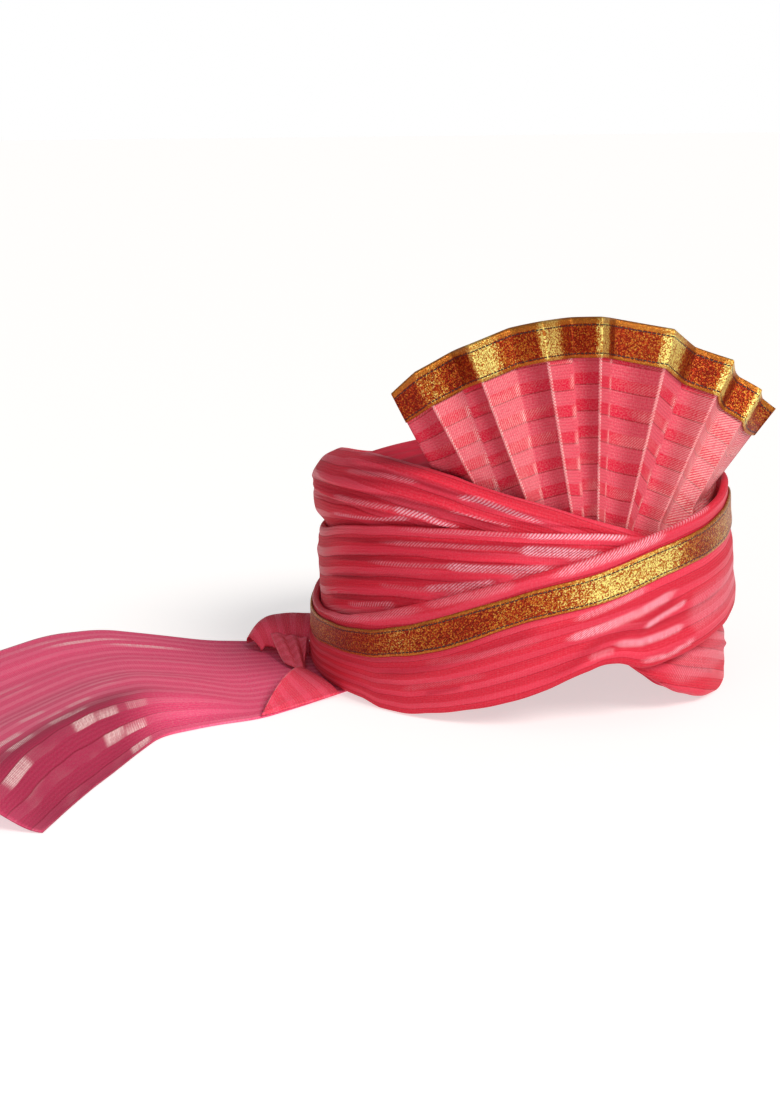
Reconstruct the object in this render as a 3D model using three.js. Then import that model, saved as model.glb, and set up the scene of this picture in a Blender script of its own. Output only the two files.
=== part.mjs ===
// A tied turban pagri: a cloth crown with wound turns of striped pink cloth, a gold lace band,
// a pleated fan standing at the front and the loose tail of the cloth lying on the surface.
// Millimetres, +Z up. The wearer faces -Y, so the wearer's right hand is on the -X side.
import * as THREE from "three";

// Driving dimensions, in mm
const HEAD_HALF_WIDTH = 84;
const HEAD_HALF_LENGTH = 100;
const CROWN_HEIGHT = 120;
const CROWN_WALL = 2.5;
const CROWN_TOP_ROUND = 2.3;
const LACE_WALL = 1;
const TAIL_WALL = 1.6;
const LAY_GAP = 0.4;
const CORE_TOP_FRONT = 68;
const CORE_TOP_BACK = 82;
const STACK_HEIGHT = 58;

// The turban narrows upward on the wearer's left: by how much for each mm of height, and between
// which angles that comes and goes
const LEAN = { share: 0.07, from: [20, 60], to: [110, 150] };

// Radial lanes of the turns, in mm out from the head's ellipse
const LANE = {
  core: { inner: 3, outer: 9.4 },
  base: { inner: 10.3, outer: 14 },
  top: { inner: 10.3, outer: 14 },
  mid: { inner: 14.3, outer: 17.9 },
  outer: { inner: 18.3, outer: 21.8 },
  lace: { inner: 22.1, outer: 23.1 },
};

// Heights and offsets of the turns around the head, in mm, a row for each angle in degrees.
// The angle is 0 at the front and grows toward +X, the wearer's left.
// hem: lower edge of the base turn; low and high: edges of the outer turn; lace, laceTop: edges
// of the gold band; mid: upper edge of the middle turn; rim: upper edge of the top turn;
// bulge: how far out the top turn swells; rimIn: its inner lip; shoulder: edge of the crown.
const TURN_COLUMNS = ["angle", "hem", "low", "high", "lace", "laceTop", "mid", "rim", "bulge", "rimIn", "shoulder"];
const TURN_ROWS = [
  [-150, 0.0, 3.0, 50.0, 29.0, 44.0, 68.0, 99.0, 18.5, 4.0, 93.0],
  [-120, 0.0, 0.0, 38.5, 20.0, 34.5, 71.0, 109.0, 20.5, 4.0, 103.0],
  [-100, 0.0, 0.0, 36.0, 19.0, 32.3, 75.0, 114.5, 21.5, 4.0, 108.0],
  [-85, 0.0, 0.0, 38.2, 21.0, 33.6, 81.5, 117.5, 21.2, 4.5, 112.0],
  [-70, 0.0, 0.0, 44.0, 23.2, 36.6, 86.5, 119.7, 20.5, 6.0, 113.0],
  [-58, 2.0, 0.3, 51.0, 27.6, 42.0, 90.0, 119.0, 19.5, 7.6, 112.0],
  [-48, 5.0, 3.0, 57.5, 32.5, 48.3, 91.5, 117.0, 18.4, 8.3, 110.0],
  [-38, 9.5, 7.2, 64.0, 39.6, 55.6, 92.2, 112.8, 17.2, 8.3, 106.0],
  [-28, 14.5, 12.3, 70.0, 48.0, 62.4, 92.3, 108.5, 16.2, 8.3, 102.0],
  [-18, 21.5, 19.4, 76.0, 54.2, 68.6, 92.2, 104.2, 15.4, 8.3, 98.0],
  [-8, 29.0, 27.5, 81.5, 58.6, 73.2, 92.0, 98.9, 14.6, 8.8, 93.0],
  [0, 31.0, 30.8, 86.0, 62.6, 77.8, 91.0, 94.8, 14.0, 9.2, 90.0],
  [8, 24.8, 27.4, 89.7, 67.6, 82.6, 89.3, 90.0, 14.0, 10.3, 89.0],
  [16, 16.8, 29.2, 93.0, 71.6, 86.0, 87.5, 82.0, 14.0, 10.3, 89.0],
  [28, 7.0, 32.9, 97.6, 75.4, 90.4, 83.0, 78.0, 14.0, 10.3, 90.0],
  [42, 1.6, 37.0, 100.8, 78.4, 94.6, 80.0, 78.0, 14.0, 10.3, 91.0],
  [56, 0.0, 39.6, 103.2, 80.0, 96.5, 80.0, 79.0, 14.0, 9.0, 92.0],
  [75, 0.0, 38.0, 103.5, 79.0, 95.0, 86.0, 93.0, 14.0, 4.0, 93.0],
  [100, 0.0, 31.0, 97.5, 73.5, 89.0, 87.0, 96.0, 14.5, 4.0, 92.0],
  [125, 0.0, 22.0, 88.5, 64.0, 79.5, 82.0, 94.0, 15.5, 4.0, 89.0],
  [150, 0.0, 15.0, 77.0, 54.0, 69.0, 75.5, 92.0, 16.5, 4.0, 87.0],
  [180, 0.0, 10.0, 65.0, 43.0, 58.0, 70.0, 93.0, 17.5, 4.0, 86.0],
];

// The hem rides over the tail where the tail comes out from under it
const TAIL_DOOR = { from: -130, to: -70, lift: TAIL_WALL + LAY_GAP };

// Fold lines of the fan, a row for each fold from the wearer's right to left.
// foot: angle around the head where it leaves the turns; footHeight: height there; lean: angle
// of the fold from upright, in degrees; reach: distance of its top from the fan's centre;
// out: 1 on a ridge, -1 in a valley, 0 at a side edge.
const FAN_COLUMNS = ["foot", "footHeight", "lean", "reach", "out"];
const FAN_ROWS = [
  [-52.0, 115.5, -38.3, 162.0, 0.0],
  [-39.0, 113.5, -32.8, 164.0, 1.0],
  [-31.6, 110.5, -27.0, 163.0, -1.0],
  [-24.0, 107.5, -23.6, 164.0, 1.0],
  [-18.5, 104.5, -16.7, 163.0, -1.0],
  [-10.8, 100.5, -11.9, 164.0, 1.0],
  [-6.6, 98.5, -6.2, 161.5, -1.0],
  [-3.0, 97.0, -2.4, 162.0, 1.0],
  [0.0, 95.5, 1.6, 159.5, -1.0],
  [6.0, 92.5, 10.5, 157.5, 1.0],
  [9.5, 91.5, 19.0, 152.5, -1.0],
  [17.0, 92.5, 24.2, 152.0, 1.0],
  [21.0, 93.5, 31.0, 150.0, -1.0],
  [31.0, 97.0, 34.6, 149.0, 1.0],
  [39.5, 98.5, 38.2, 149.0, -0.7],
  [58.0, 101.5, 41.0, 149.0, 0.3],
];
const FAN_CENTRE_HEIGHT = 28;
const FAN_FRONT = 106;
const FAN_TURN = THREE.MathUtils.degToRad(28) / 98;
const FAN_WALL = 1.6;
const FAN_PLEAT_TOP = 4.5;
const FAN_PLEAT_FOOT = 1.1;
const FAN_TUCK = 15;
const FAN_FLOOR = 81;
const FAN_LANE = [[-60, 5.4], [0, 5.6], [8, 6.4], [17, 8], [31, 11], [42, 13.2], [60, 15.4]];
const LACE_WIDTH = 17;

// Sections of the tail on the surface, from the turban to the free end.
// nearX, nearY and farX, farY: its two edges; crest: height of the soft ridge along it;
// crestAt: where the ridge lies, 0 at the near edge and 1 at the far one.
const TAIL_COLUMNS = ["nearX", "nearY", "farX", "farY", "crest", "crestAt"];
const TAIL_ROWS = [
  [-88, -14, -68, 60, 0, 0.2],
  [-112, -30, -88, 76, 0, 0.2],
  [-131, -43, -119, 86, 0, 0.2],
  [-154, -57, -143, 95, 0, 0.2],
  [-178, -61, -167, 117, 5, 0.2],
  [-205, -71, -192, 138, 10, 0.2],
  [-222, -96, -222, 134, 14, 0.18],
  [-236, -118, -258, 102, 17, 0.17],
  [-250, -139, -310, 46, 18, 0.17],
  [-264, -162, -366, -22, 17, 0.18],
  [-280, -190, -428, -128, 13, 0.22],
];
const TAIL_STEPS = 18;
const TAIL_CREST_HALF = 0.3;
const TAIL_RIPPLE = 1.1;
const TAIL_RIPPLES = 4;

// The rolled fold at the far edge of the tail, against the turban's side
const ROLL = { nearY: 44, farY: 90, height: 18.5, endX: -127, wall: 1.6, steps: 8 };
const ROLL_SWELL = [1, 1, 1, 0.96, 0.86, 0.66, 0.34];

// The corner of the tail folded back over itself, lying on the tail: along, across and height
const FLAP = { hemNear: [-108, -29], hemFar: [-113, 20], tip: [-149, -50], wall: 1.6 };

// Colours and finish of the cloths
const CLOTHS = {
  pink: { color: 0xe0405f, roughness: 0.55, metalness: 0 },
  crown: { color: 0x9c2140, roughness: 0.7, metalness: 0 },
  padding: { color: 0xc9304f, roughness: 0.8, metalness: 0 },
  lace: { color: 0xb98a2c, roughness: 0.35, metalness: 0.8 },
};

const degrees = (angle) => THREE.MathUtils.degToRad(angle);
const mix = (from, to, share) => from + (to - from) * share;
const clamp = (value, low, high) => Math.min(high, Math.max(low, value));
const soft = (value, low, high) => THREE.MathUtils.smoothstep(value, low, high);

// Turns rows of numbers into records with named columns
function named(columns, rows) {
  return rows.map((row) => Object.fromEntries(columns.map((column, i) => [column, row[i]])));
}

// A smooth curve through the points [place, value], flat at each high and low point
function smoothCurve(points) {
  const slopes = points.map((point, i) => {
    if (i === 0 || i === points.length - 1) return 0;
    const before = (point[1] - points[i - 1][1]) / (point[0] - points[i - 1][0]);
    const after = (points[i + 1][1] - point[1]) / (points[i + 1][0] - point[0]);
    return before * after <= 0 ? 0 : (2 * before * after) / (before + after);
  });
  return (place) => {
    const last = points.length - 2;
    const i = clamp(points.findIndex((point) => point[0] > place) - 1, 0, last);
    const at = place >= points[last + 1][0] ? last : i;
    const width = points[at + 1][0] - points[at][0];
    const t = clamp((place - points[at][0]) / width, 0, 1);
    const start = points[at][1] + slopes[at] * width * t;
    const end = points[at + 1][1] - slopes[at + 1] * width * (1 - t);
    const share = t * t * (3 - 2 * t);
    return mix(start, end, share);
  };
}

// The turns' table as one smooth closed curve for each column
function aroundTheHead(rows, column) {
  const turn = [-360, 0, 360];
  const points = turn.flatMap((shift) => rows.map((row) => [row.angle + shift, row[column]]));
  return smoothCurve(points);
}

const turnRows = named(TURN_COLUMNS, TURN_ROWS);
const turnCurves = Object.fromEntries(
  TURN_COLUMNS.slice(1).map((column) => [column, aroundTheHead(turnRows, column)]),
);

function turnsAt(angle) {
  const at = { angle };
  for (const column of TURN_COLUMNS.slice(1)) at[column] = turnCurves[column](angle);
  const lift = angle >= TAIL_DOOR.from && angle <= TAIL_DOOR.to ? TAIL_DOOR.lift : 0;
  at.hem = Math.max(at.hem, lift);
  at.low = Math.max(at.low, lift);
  return at;
}

// Angles of the sections: every 5 degrees at the front, every 10 degrees elsewhere
const STATIONS = [];
for (let angle = -180; angle < 180; angle += Math.abs(angle + 2.5) < 60 ? 5 : 10) STATIONS.push(angle);

// How far the turban leans in at an angle and height
function leanIn(angle, height) {
  const side = soft(angle, ...LEAN.from) * (1 - soft(angle, ...LEAN.to));
  return LEAN.share * side * height;
}

// A point beside the head: its angle, its distance out from the head's ellipse and its height
function besideHead(angle, out, height) {
  const reach = out - leanIn(angle, height);
  const x = (HEAD_HALF_WIDTH + reach) * Math.sin(degrees(angle));
  const y = -(HEAD_HALF_LENGTH + reach) * Math.cos(degrees(angle));
  return new THREE.Vector3(x, y, height);
}

// A solid from sections of equal point counts, each a closed outline. A ring closes on itself,
// and any other run gets a cap at both ends.
function loftSections(sections, ring) {
  const count = sections[0].length;
  const positions = sections.flat().flatMap((point) => [point.x, point.y, point.z]);
  const triangles = [];
  const spans = ring ? sections.length : sections.length - 1;
  for (let i = 0; i < spans; i += 1) {
    const here = i * count;
    const next = ((i + 1) % sections.length) * count;
    for (let j = 0; j < count; j += 1) {
      const k = (j + 1) % count;
      triangles.push([here + j, next + j, next + k], [here + j, next + k, here + k]);
    }
  }
  if (!ring) {
    const lastStart = (sections.length - 1) * count;
    for (const [a, b, c] of capTriangles(count)) {
      triangles.push([a, b, c], [lastStart + c, lastStart + b, lastStart + a]);
    }
  }
  return solidFrom(positions, triangles);
}

// Triangles that close the end of a sheet's outline, whose first half runs along one face of the
// sheet and whose second half runs back along the other
function capTriangles(count) {
  const triangles = [];
  for (let i = 0; i < count / 2 - 1; i += 1) {
    const across = count - 1 - i;
    triangles.push([i, i + 1, across - 1], [i, across - 1, across]);
  }
  return triangles;
}

// The solid of these triangles, turned inside out if its faces point inward
function solidFrom(positions, triangles) {
  const corner = (i) => new THREE.Vector3().fromArray(positions, 3 * i);
  const volume = triangles.reduce(
    (sum, [a, b, c]) => sum + corner(a).dot(new THREE.Vector3().crossVectors(corner(b), corner(c))),
    0,
  );
  const faces = volume < 0 ? triangles.map(([a, b, c]) => [a, c, b]) : triangles;
  const geometry = new THREE.BufferGeometry();
  geometry.setAttribute("position", new THREE.Float32BufferAttribute(positions, 3));
  geometry.setIndex(faces.flat());
  geometry.computeVertexNormals();
  return geometry;
}

// A turn around the head: the outline of its section at each angle, as [out, height] points
function woundTurn(outlineAt) {
  const sections = STATIONS.map((angle) =>
    outlineAt(turnsAt(angle)).map(([out, height]) => besideHead(angle, out, height)),
  );
  return loftSections(sections, true);
}

// Core of wound cloth under the turns, against the crown's side
function coreOutline(at) {
  const { inner, outer } = LANE.core;
  const top = Math.abs(at.angle) < 65 ? CORE_TOP_FRONT : CORE_TOP_BACK;
  const low = at.hem + 0.6;
  return [
    [inner, low + 1.5],
    [inner, top - 2],
    [inner + 1.5, top],
    [outer - 1.5, top],
    [outer, top - 2],
    [outer, low + 1.5],
    [outer - 1.5, low],
    [inner + 1.5, low],
  ];
}

// Base turn: the first turn, seen low on the wearer's left and at the back
function baseOutline(at) {
  const { inner, outer } = LANE.base;
  const shown = clamp((at.low - at.hem - 3) / 14, 0, 1);
  const seam = Math.max(at.low - 1.2, at.hem + 3);
  return [
    [inner, at.hem + 0.8],
    [inner, STACK_HEIGHT - 0.8],
    [inner + 0.6, STACK_HEIGHT],
    [outer - 0.4, STACK_HEIGHT],
    [outer, seam + 1],
    [outer + 2.6 * shown, mix(seam, at.hem, 0.25)],
    [outer + 2.2 * shown, mix(seam, at.hem, 0.42)],
    [outer + 3.2 * shown, mix(seam, at.hem, 0.65)],
    [outer + 2.2 * shown, at.hem + 1],
    [outer - 0.4, at.hem],
    [inner + 0.3, at.hem],
  ];
}

// Top turn: swells over the middle turn's edge and curls in to the crown
function topOutline(at) {
  const { inner, outer } = LANE.top;
  const start = Math.min(at.mid + LAY_GAP, at.rim - 6);
  const rise = at.rim - start;
  const curl = mix(at.bulge, at.rimIn, 0.3);
  const groove = 0.06 * (at.bulge - outer);
  return [
    [outer, STACK_HEIGHT + LAY_GAP],
    [outer, start],
    [Math.max(outer, at.bulge - 1.4), start + 0.2 * rise],
    [Math.max(outer, at.bulge), start + 0.38 * rise],
    [at.bulge - 0.6 - 3 * groove, start + 0.5 * rise],
    [at.bulge - 0.4, start + 0.64 * rise],
    [curl, start + 0.86 * rise],
    [at.rimIn + 2.8, at.rim],
    [at.rimIn, at.rim - 1.4],
    [Math.max(at.rimIn + 0.6, curl - 3.6), start + 0.84 * rise - 2.4],
    [Math.max(inner, at.bulge - 4), start + 0.5 * rise],
    [Math.max(inner, at.bulge - 5), start + 0.2 * rise],
    [inner, start - 1],
    [inner, STACK_HEIGHT + LAY_GAP],
  ];
}

// Middle turn: crisp upper edge, three soft folds where it shows above the outer turn
function midOutline(at) {
  const { inner, outer } = LANE.mid;
  const low = Math.max(at.low + 12, 14);
  const top = at.mid;
  const seam = Math.min(at.high + 2, top - 6);
  const shown = clamp((top - at.high) / 16, 0, 1);
  const fold = (share) => mix(seam, top - 2, share);
  return [
    [inner, low + 0.8],
    [inner, top - 1],
    [inner + 1, top],
    [outer - 1.2, top],
    [outer, top - 2],
    [outer + 1.5 * shown, fold(0.82)],
    [outer + 0.4 * shown, fold(0.66)],
    [outer + 1.7 * shown, fold(0.5)],
    [outer + 0.5 * shown, fold(0.34)],
    [outer + 1.4 * shown, fold(0.18)],
    [outer, seam],
    [outer, low + 1],
    [outer - 1, low],
    [inner + 0.8, low],
  ];
}

// Outer turn: carries the gold lace near its rolled upper edge
function outerOutline(at) {
  const { inner, outer } = LANE.outer;
  const below = (share) => mix(at.lace, at.low, share);
  return [
    [inner, at.low + 1],
    [inner, at.high - 1.4],
    [inner + 1, at.high],
    [outer - 1, at.high],
    [outer, Math.min(at.high - 1.2, at.laceTop + 1.6)],
    [outer, at.laceTop],
    [outer, at.lace],
    [outer + 1.3, below(0.2)],
    [outer + 0.4, below(0.36)],
    [outer + 1.5, below(0.54)],
    [outer + 0.5, below(0.72)],
    [outer + 0.9, below(0.88)],
    [outer - 0.4, at.low],
    [inner + 0.8, at.low],
  ];
}

// Gold lace laid flat on the outer turn
function laceOutline(at) {
  const { inner, outer } = LANE.lace;
  return [
    [inner, at.lace + 0.4],
    [inner, at.laceTop],
    [outer, at.laceTop - 0.3],
    [outer, at.lace + 0.7],
  ];
}

// Crown: a domed cloth over the head with a side that hangs down inside the turns, open below
function crownGeometry() {
  const topRings = [0.93, 0.76, 0.5, 0.24];
  const dome = (at, share) => mix(at.shoulder, CROWN_HEIGHT, 1 - share ** CROWN_TOP_ROUND);
  const outlineAt = (at) => {
    const outside = [
      [CROWN_WALL, at.hem + 1],
      [CROWN_WALL, at.shoulder - 6],
      [CROWN_WALL - 1.2, at.shoulder - 1.5],
    ].map(([out, height]) => besideHead(at.angle, out, height));
    const inside = [
      [0, at.shoulder - 7],
      [0, at.hem + 1],
    ].map(([out, height]) => besideHead(at.angle, out, height));
    const ringPoint = (share, drop) => {
      const edge = besideHead(at.angle, 0, at.shoulder).multiplyScalar(share);
      return edge.setZ(dome(at, share) - drop);
    };
    const over = topRings.map((share) => ringPoint(share, 0));
    const under = topRings.map((share) => ringPoint(share * 0.985, CROWN_WALL)).reverse();
    return { outer: [...outside, ...over], inner: [...under, ...inside] };
  };
  const columns = STATIONS.map((angle) => outlineAt(turnsAt(angle)));
  const perColumn = columns[0].outer.length + columns[0].inner.length;
  const overCount = columns[0].outer.length;
  const positions = columns.flatMap((column) =>
    [...column.outer, ...column.inner].flatMap((point) => [point.x, point.y, point.z]),
  );
  const topCentre = positions.length / 3;
  positions.push(0, 0, CROWN_HEIGHT, 0, 0, CROWN_HEIGHT - CROWN_WALL);
  const triangles = [];
  columns.forEach((_, i) => {
    const here = i * perColumn;
    const next = ((i + 1) % columns.length) * perColumn;
    for (let j = 0; j < perColumn; j += 1) {
      const k = (j + 1) % perColumn;
      if (j === overCount - 1) {
        triangles.push([here + j, next + j, topCentre], [here + k, topCentre + 1, next + k]);
      } else {
        triangles.push([here + j, next + j, next + k], [here + j, next + k, here + k]);
      }
    }
  });
  return solidFrom(positions, triangles);
}

// The fan's plan is an arc, flatter than the head. These give a point of it and its outward way.
function fanArc(along) {
  const turned = FAN_TURN * along;
  const x = Math.sin(turned) / FAN_TURN;
  const y = -FAN_FRONT + (1 - Math.cos(turned)) / FAN_TURN;
  return { point: new THREE.Vector3(x, y, 0), outward: new THREE.Vector3(Math.sin(turned), -Math.cos(turned), 0) };
}

const fanRows = named(FAN_COLUMNS, FAN_ROWS);
const fanLane = smoothCurve(FAN_LANE);

// A fold line of the fan: its tucked end, its foot and its top, with the outward way at each
function fanLine(fold) {
  const upright = (angle) => {
    const out = besideHead(angle, 1, 0).sub(besideHead(angle, 0, 0));
    return out.setZ(0).normalize();
  };
  const lane = fanLane(fold.foot);
  const tuckHeight = Math.max(fold.footHeight - FAN_TUCK, FAN_FLOOR);
  const tuck = besideHead(fold.foot * 0.95, lane, tuckHeight);
  const foot = besideHead(fold.foot, lane, fold.footHeight);
  const along = fold.reach * Math.sin(degrees(fold.lean));
  const arc = fanArc(along);
  const top = arc.point.clone().setZ(FAN_CENTRE_HEIGHT + fold.reach * Math.cos(degrees(fold.lean)));
  return {
    tuck: { point: tuck, outward: upright(fold.foot), pleat: fold.out * FAN_PLEAT_FOOT * 0.5 },
    foot: { point: foot, outward: upright(fold.foot), pleat: fold.out * FAN_PLEAT_FOOT },
    top: { point: top, outward: arc.outward, pleat: fold.out * FAN_PLEAT_TOP },
    length: top.distanceTo(foot),
  };
}

// A point of a fold line, a share of the way from its foot to its top, moved out by offset
function fanPoint(line, share, offset) {
  const foot = offsetPoint(line.foot, offset);
  const top = offsetPoint(line.top, offset);
  return foot.lerp(top, share);
}

function offsetPoint(end, offset) {
  return end.point.clone().addScaledVector(end.outward, end.pleat + offset);
}

// Share of a fold line at which the lace on its upper end begins
const laceStart = (line) => 1 - LACE_WIDTH / line.length;

function fanGeometry() {
  const half = FAN_WALL / 2;
  const sections = fanRows.map(fanLine).map((line) => [
    offsetPoint(line.tuck, -half),
    fanPoint(line, 0, -half),
    fanPoint(line, laceStart(line), -half),
    fanPoint(line, 1, -half),
    fanPoint(line, 1, half),
    fanPoint(line, laceStart(line), half),
    fanPoint(line, 0, half),
    offsetPoint(line.tuck, half),
  ]);
  return loftSections(sections, false);
}

// Gold lace folded over the fan's upper edge, front and back
function fanLaceGeometry() {
  const clear = FAN_WALL / 2 + LAY_GAP;
  const face = clear + LACE_WALL;
  const sections = fanRows.map(fanLine).map((line) => {
    const low = laceStart(line);
    const seat = 1 + LAY_GAP / line.length;
    const edge = seat + LACE_WALL / line.length;
    return [
      fanPoint(line, low, -clear),
      fanPoint(line, seat, -clear),
      fanPoint(line, seat, clear),
      fanPoint(line, low, clear),
      fanPoint(line, low, face),
      fanPoint(line, edge, face),
      fanPoint(line, edge, -face),
      fanPoint(line, low, -face),
    ];
  });
  return loftSections(sections, false);
}

// Height of the tail's under side, a share of the way from its near edge to its far edge: steep up
// to the ridge and gently down behind it
function tailRise(row, share) {
  const away = (share - row.crestAt) / TAIL_CREST_HALF;
  const slope = share < row.crestAt ? soft(share, 0, row.crestAt) : Math.exp(-away * away);
  const crest = row.crest * slope;
  const ripple = 0.5 - 0.5 * Math.cos(2 * Math.PI * TAIL_RIPPLES * share);
  const edge = Math.min(share, 1 - share) < 0.02 ? 0 : 1;
  return edge * (crest + TAIL_RIPPLE * ripple * clamp(row.crest / 6, 0, 1));
}

function tailGeometry() {
  const sections = named(TAIL_COLUMNS, TAIL_ROWS).map((row) => {
    const under = [];
    const over = [];
    for (let i = 0; i <= TAIL_STEPS; i += 1) {
      const share = i / TAIL_STEPS;
      const x = mix(row.nearX, row.farX, share);
      const y = mix(row.nearY, row.farY, share);
      const rise = tailRise(row, share);
      under.push(new THREE.Vector3(x, y, rise));
      over.push(new THREE.Vector3(x, y, rise + TAIL_WALL));
    }
    return [...under, ...over.reverse()];
  });
  return loftSections(sections, false);
}

// The rolled fold: an arched sheet that comes off the turban's side and closes at its end
function rollGeometry() {
  const floor = TAIL_WALL + LAY_GAP;
  const wallClear = LANE.lace.outer + 1.2;
  const sections = ROLL_SWELL.map((swell, i) => {
    const along = i / (ROLL_SWELL.length - 1);
    const arch = (shrink) => {
      const points = [];
      for (let j = 0; j <= ROLL.steps; j += 1) {
        const turn = mix(0, 1.12 * Math.PI, j / ROLL.steps);
        const halfWidth = (ROLL.farY - ROLL.nearY) / 2 - shrink;
        const y = (ROLL.farY + ROLL.nearY) / 2 + halfWidth * Math.cos(turn) * mix(0.72, 1, swell);
        const lift = j === ROLL.steps ? 0.16 : Math.max(Math.sin(turn), 0);
        const height = floor + (ROLL.height - floor - shrink) * swell * lift + (j === 0 ? 0 : 0.2);
        const cosine = clamp(-y / (HEAD_HALF_LENGTH + wallClear), -1, 1);
        const startX = -(HEAD_HALF_WIDTH + wallClear) * Math.sqrt(1 - cosine * cosine);
        points.push(new THREE.Vector3(mix(startX, ROLL.endX, along), y, height));
      }
      return points;
    };
    return [...arch(0), ...arch(ROLL.wall).reverse()];
  });
  return loftSections(sections, false);
}

// The folded-back corner: a three-cornered sheet on the tail
function flapGeometry() {
  const low = TAIL_WALL + LAY_GAP;
  const corners = [FLAP.hemNear, FLAP.hemFar, FLAP.tip];
  const shape = new THREE.Shape(corners.map(([x, y]) => new THREE.Vector2(x, y)));
  const geometry = new THREE.ExtrudeGeometry(shape, { depth: FLAP.wall, bevelEnabled: false });
  geometry.translate(0, 0, low);
  return geometry;
}

// The pieces, each a mesh of its own
const turban = new THREE.Group();

function addPiece(name, geometry, cloth) {
  const mesh = new THREE.Mesh(geometry, new THREE.MeshStandardMaterial(CLOTHS[cloth]));
  mesh.name = name;
  turban.add(mesh);
}

addPiece("crown_cloth", crownGeometry(), "crown");
addPiece("wound_core", woundTurn(coreOutline), "padding");
addPiece("base_turn", woundTurn(baseOutline), "pink");
addPiece("top_turn", woundTurn(topOutline), "pink");
addPiece("middle_turn", woundTurn(midOutline), "pink");
addPiece("outer_turn", woundTurn(outerOutline), "pink");
addPiece("lace_band", woundTurn(laceOutline), "lace");
addPiece("fan", fanGeometry(), "pink");
addPiece("fan_lace", fanLaceGeometry(), "lace");
addPiece("tail", tailGeometry(), "pink");
addPiece("tail_roll", rollGeometry(), "pink");
addPiece("tail_flap", flapGeometry(), "pink");

// The part's origin is on the surface, under the middle of the whole
const bounds = new THREE.Box3().setFromObject(turban);
const middle = bounds.getCenter(new THREE.Vector3());
turban.position.set(-middle.x, -middle.y, -bounds.min.z);

const group = new THREE.Group();
group.add(turban);
export default group;
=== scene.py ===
import math
from functools import partial

import bpy
import numpy as np
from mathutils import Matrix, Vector


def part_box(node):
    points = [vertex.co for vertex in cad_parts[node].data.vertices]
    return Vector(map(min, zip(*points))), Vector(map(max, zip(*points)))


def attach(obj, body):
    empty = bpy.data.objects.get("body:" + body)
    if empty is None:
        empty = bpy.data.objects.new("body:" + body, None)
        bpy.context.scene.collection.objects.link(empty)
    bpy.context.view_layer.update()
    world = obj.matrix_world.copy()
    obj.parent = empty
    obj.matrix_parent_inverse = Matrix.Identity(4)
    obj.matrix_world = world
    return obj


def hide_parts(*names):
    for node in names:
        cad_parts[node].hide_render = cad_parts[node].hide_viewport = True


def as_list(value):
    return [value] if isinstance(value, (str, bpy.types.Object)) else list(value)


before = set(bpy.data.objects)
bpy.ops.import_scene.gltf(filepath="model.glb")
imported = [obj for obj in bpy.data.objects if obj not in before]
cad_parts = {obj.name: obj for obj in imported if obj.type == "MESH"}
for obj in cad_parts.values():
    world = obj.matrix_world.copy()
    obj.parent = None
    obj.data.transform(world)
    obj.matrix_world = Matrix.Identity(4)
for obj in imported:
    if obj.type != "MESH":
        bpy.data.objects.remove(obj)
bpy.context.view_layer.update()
bpy.ops.object.select_all(action="DESELECT")

# The head's ellipse and the lanes of the turns around it, as in the part
MM = 0.001
HEAD_HALF_WIDTH = 84
HEAD_HALF_LENGTH = 100
CROWN_HEIGHT = 119
LEAN = {"share": 0.07, "from": (20, 60), "to": (110, 150)}
LANE = {
    "core": (3, 9.4),
    "base": (10.3, 14),
    "top": (10.3, 14),
    "mid": (14.3, 17.9),
    "outer": (18.3, 21.8),
    "lace": (22.1, 23.1),
}
STACK_HEIGHT = 58
# The far corner of the tail's box, in mm beside the head's middle, gives the head's place
TAIL_CORNER = (-68, 138)
tail_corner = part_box("tail")[1]
HEAD_X, HEAD_Y = (tail_corner[i] - TAIL_CORNER[i] * MM for i in (0, 1))

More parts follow.
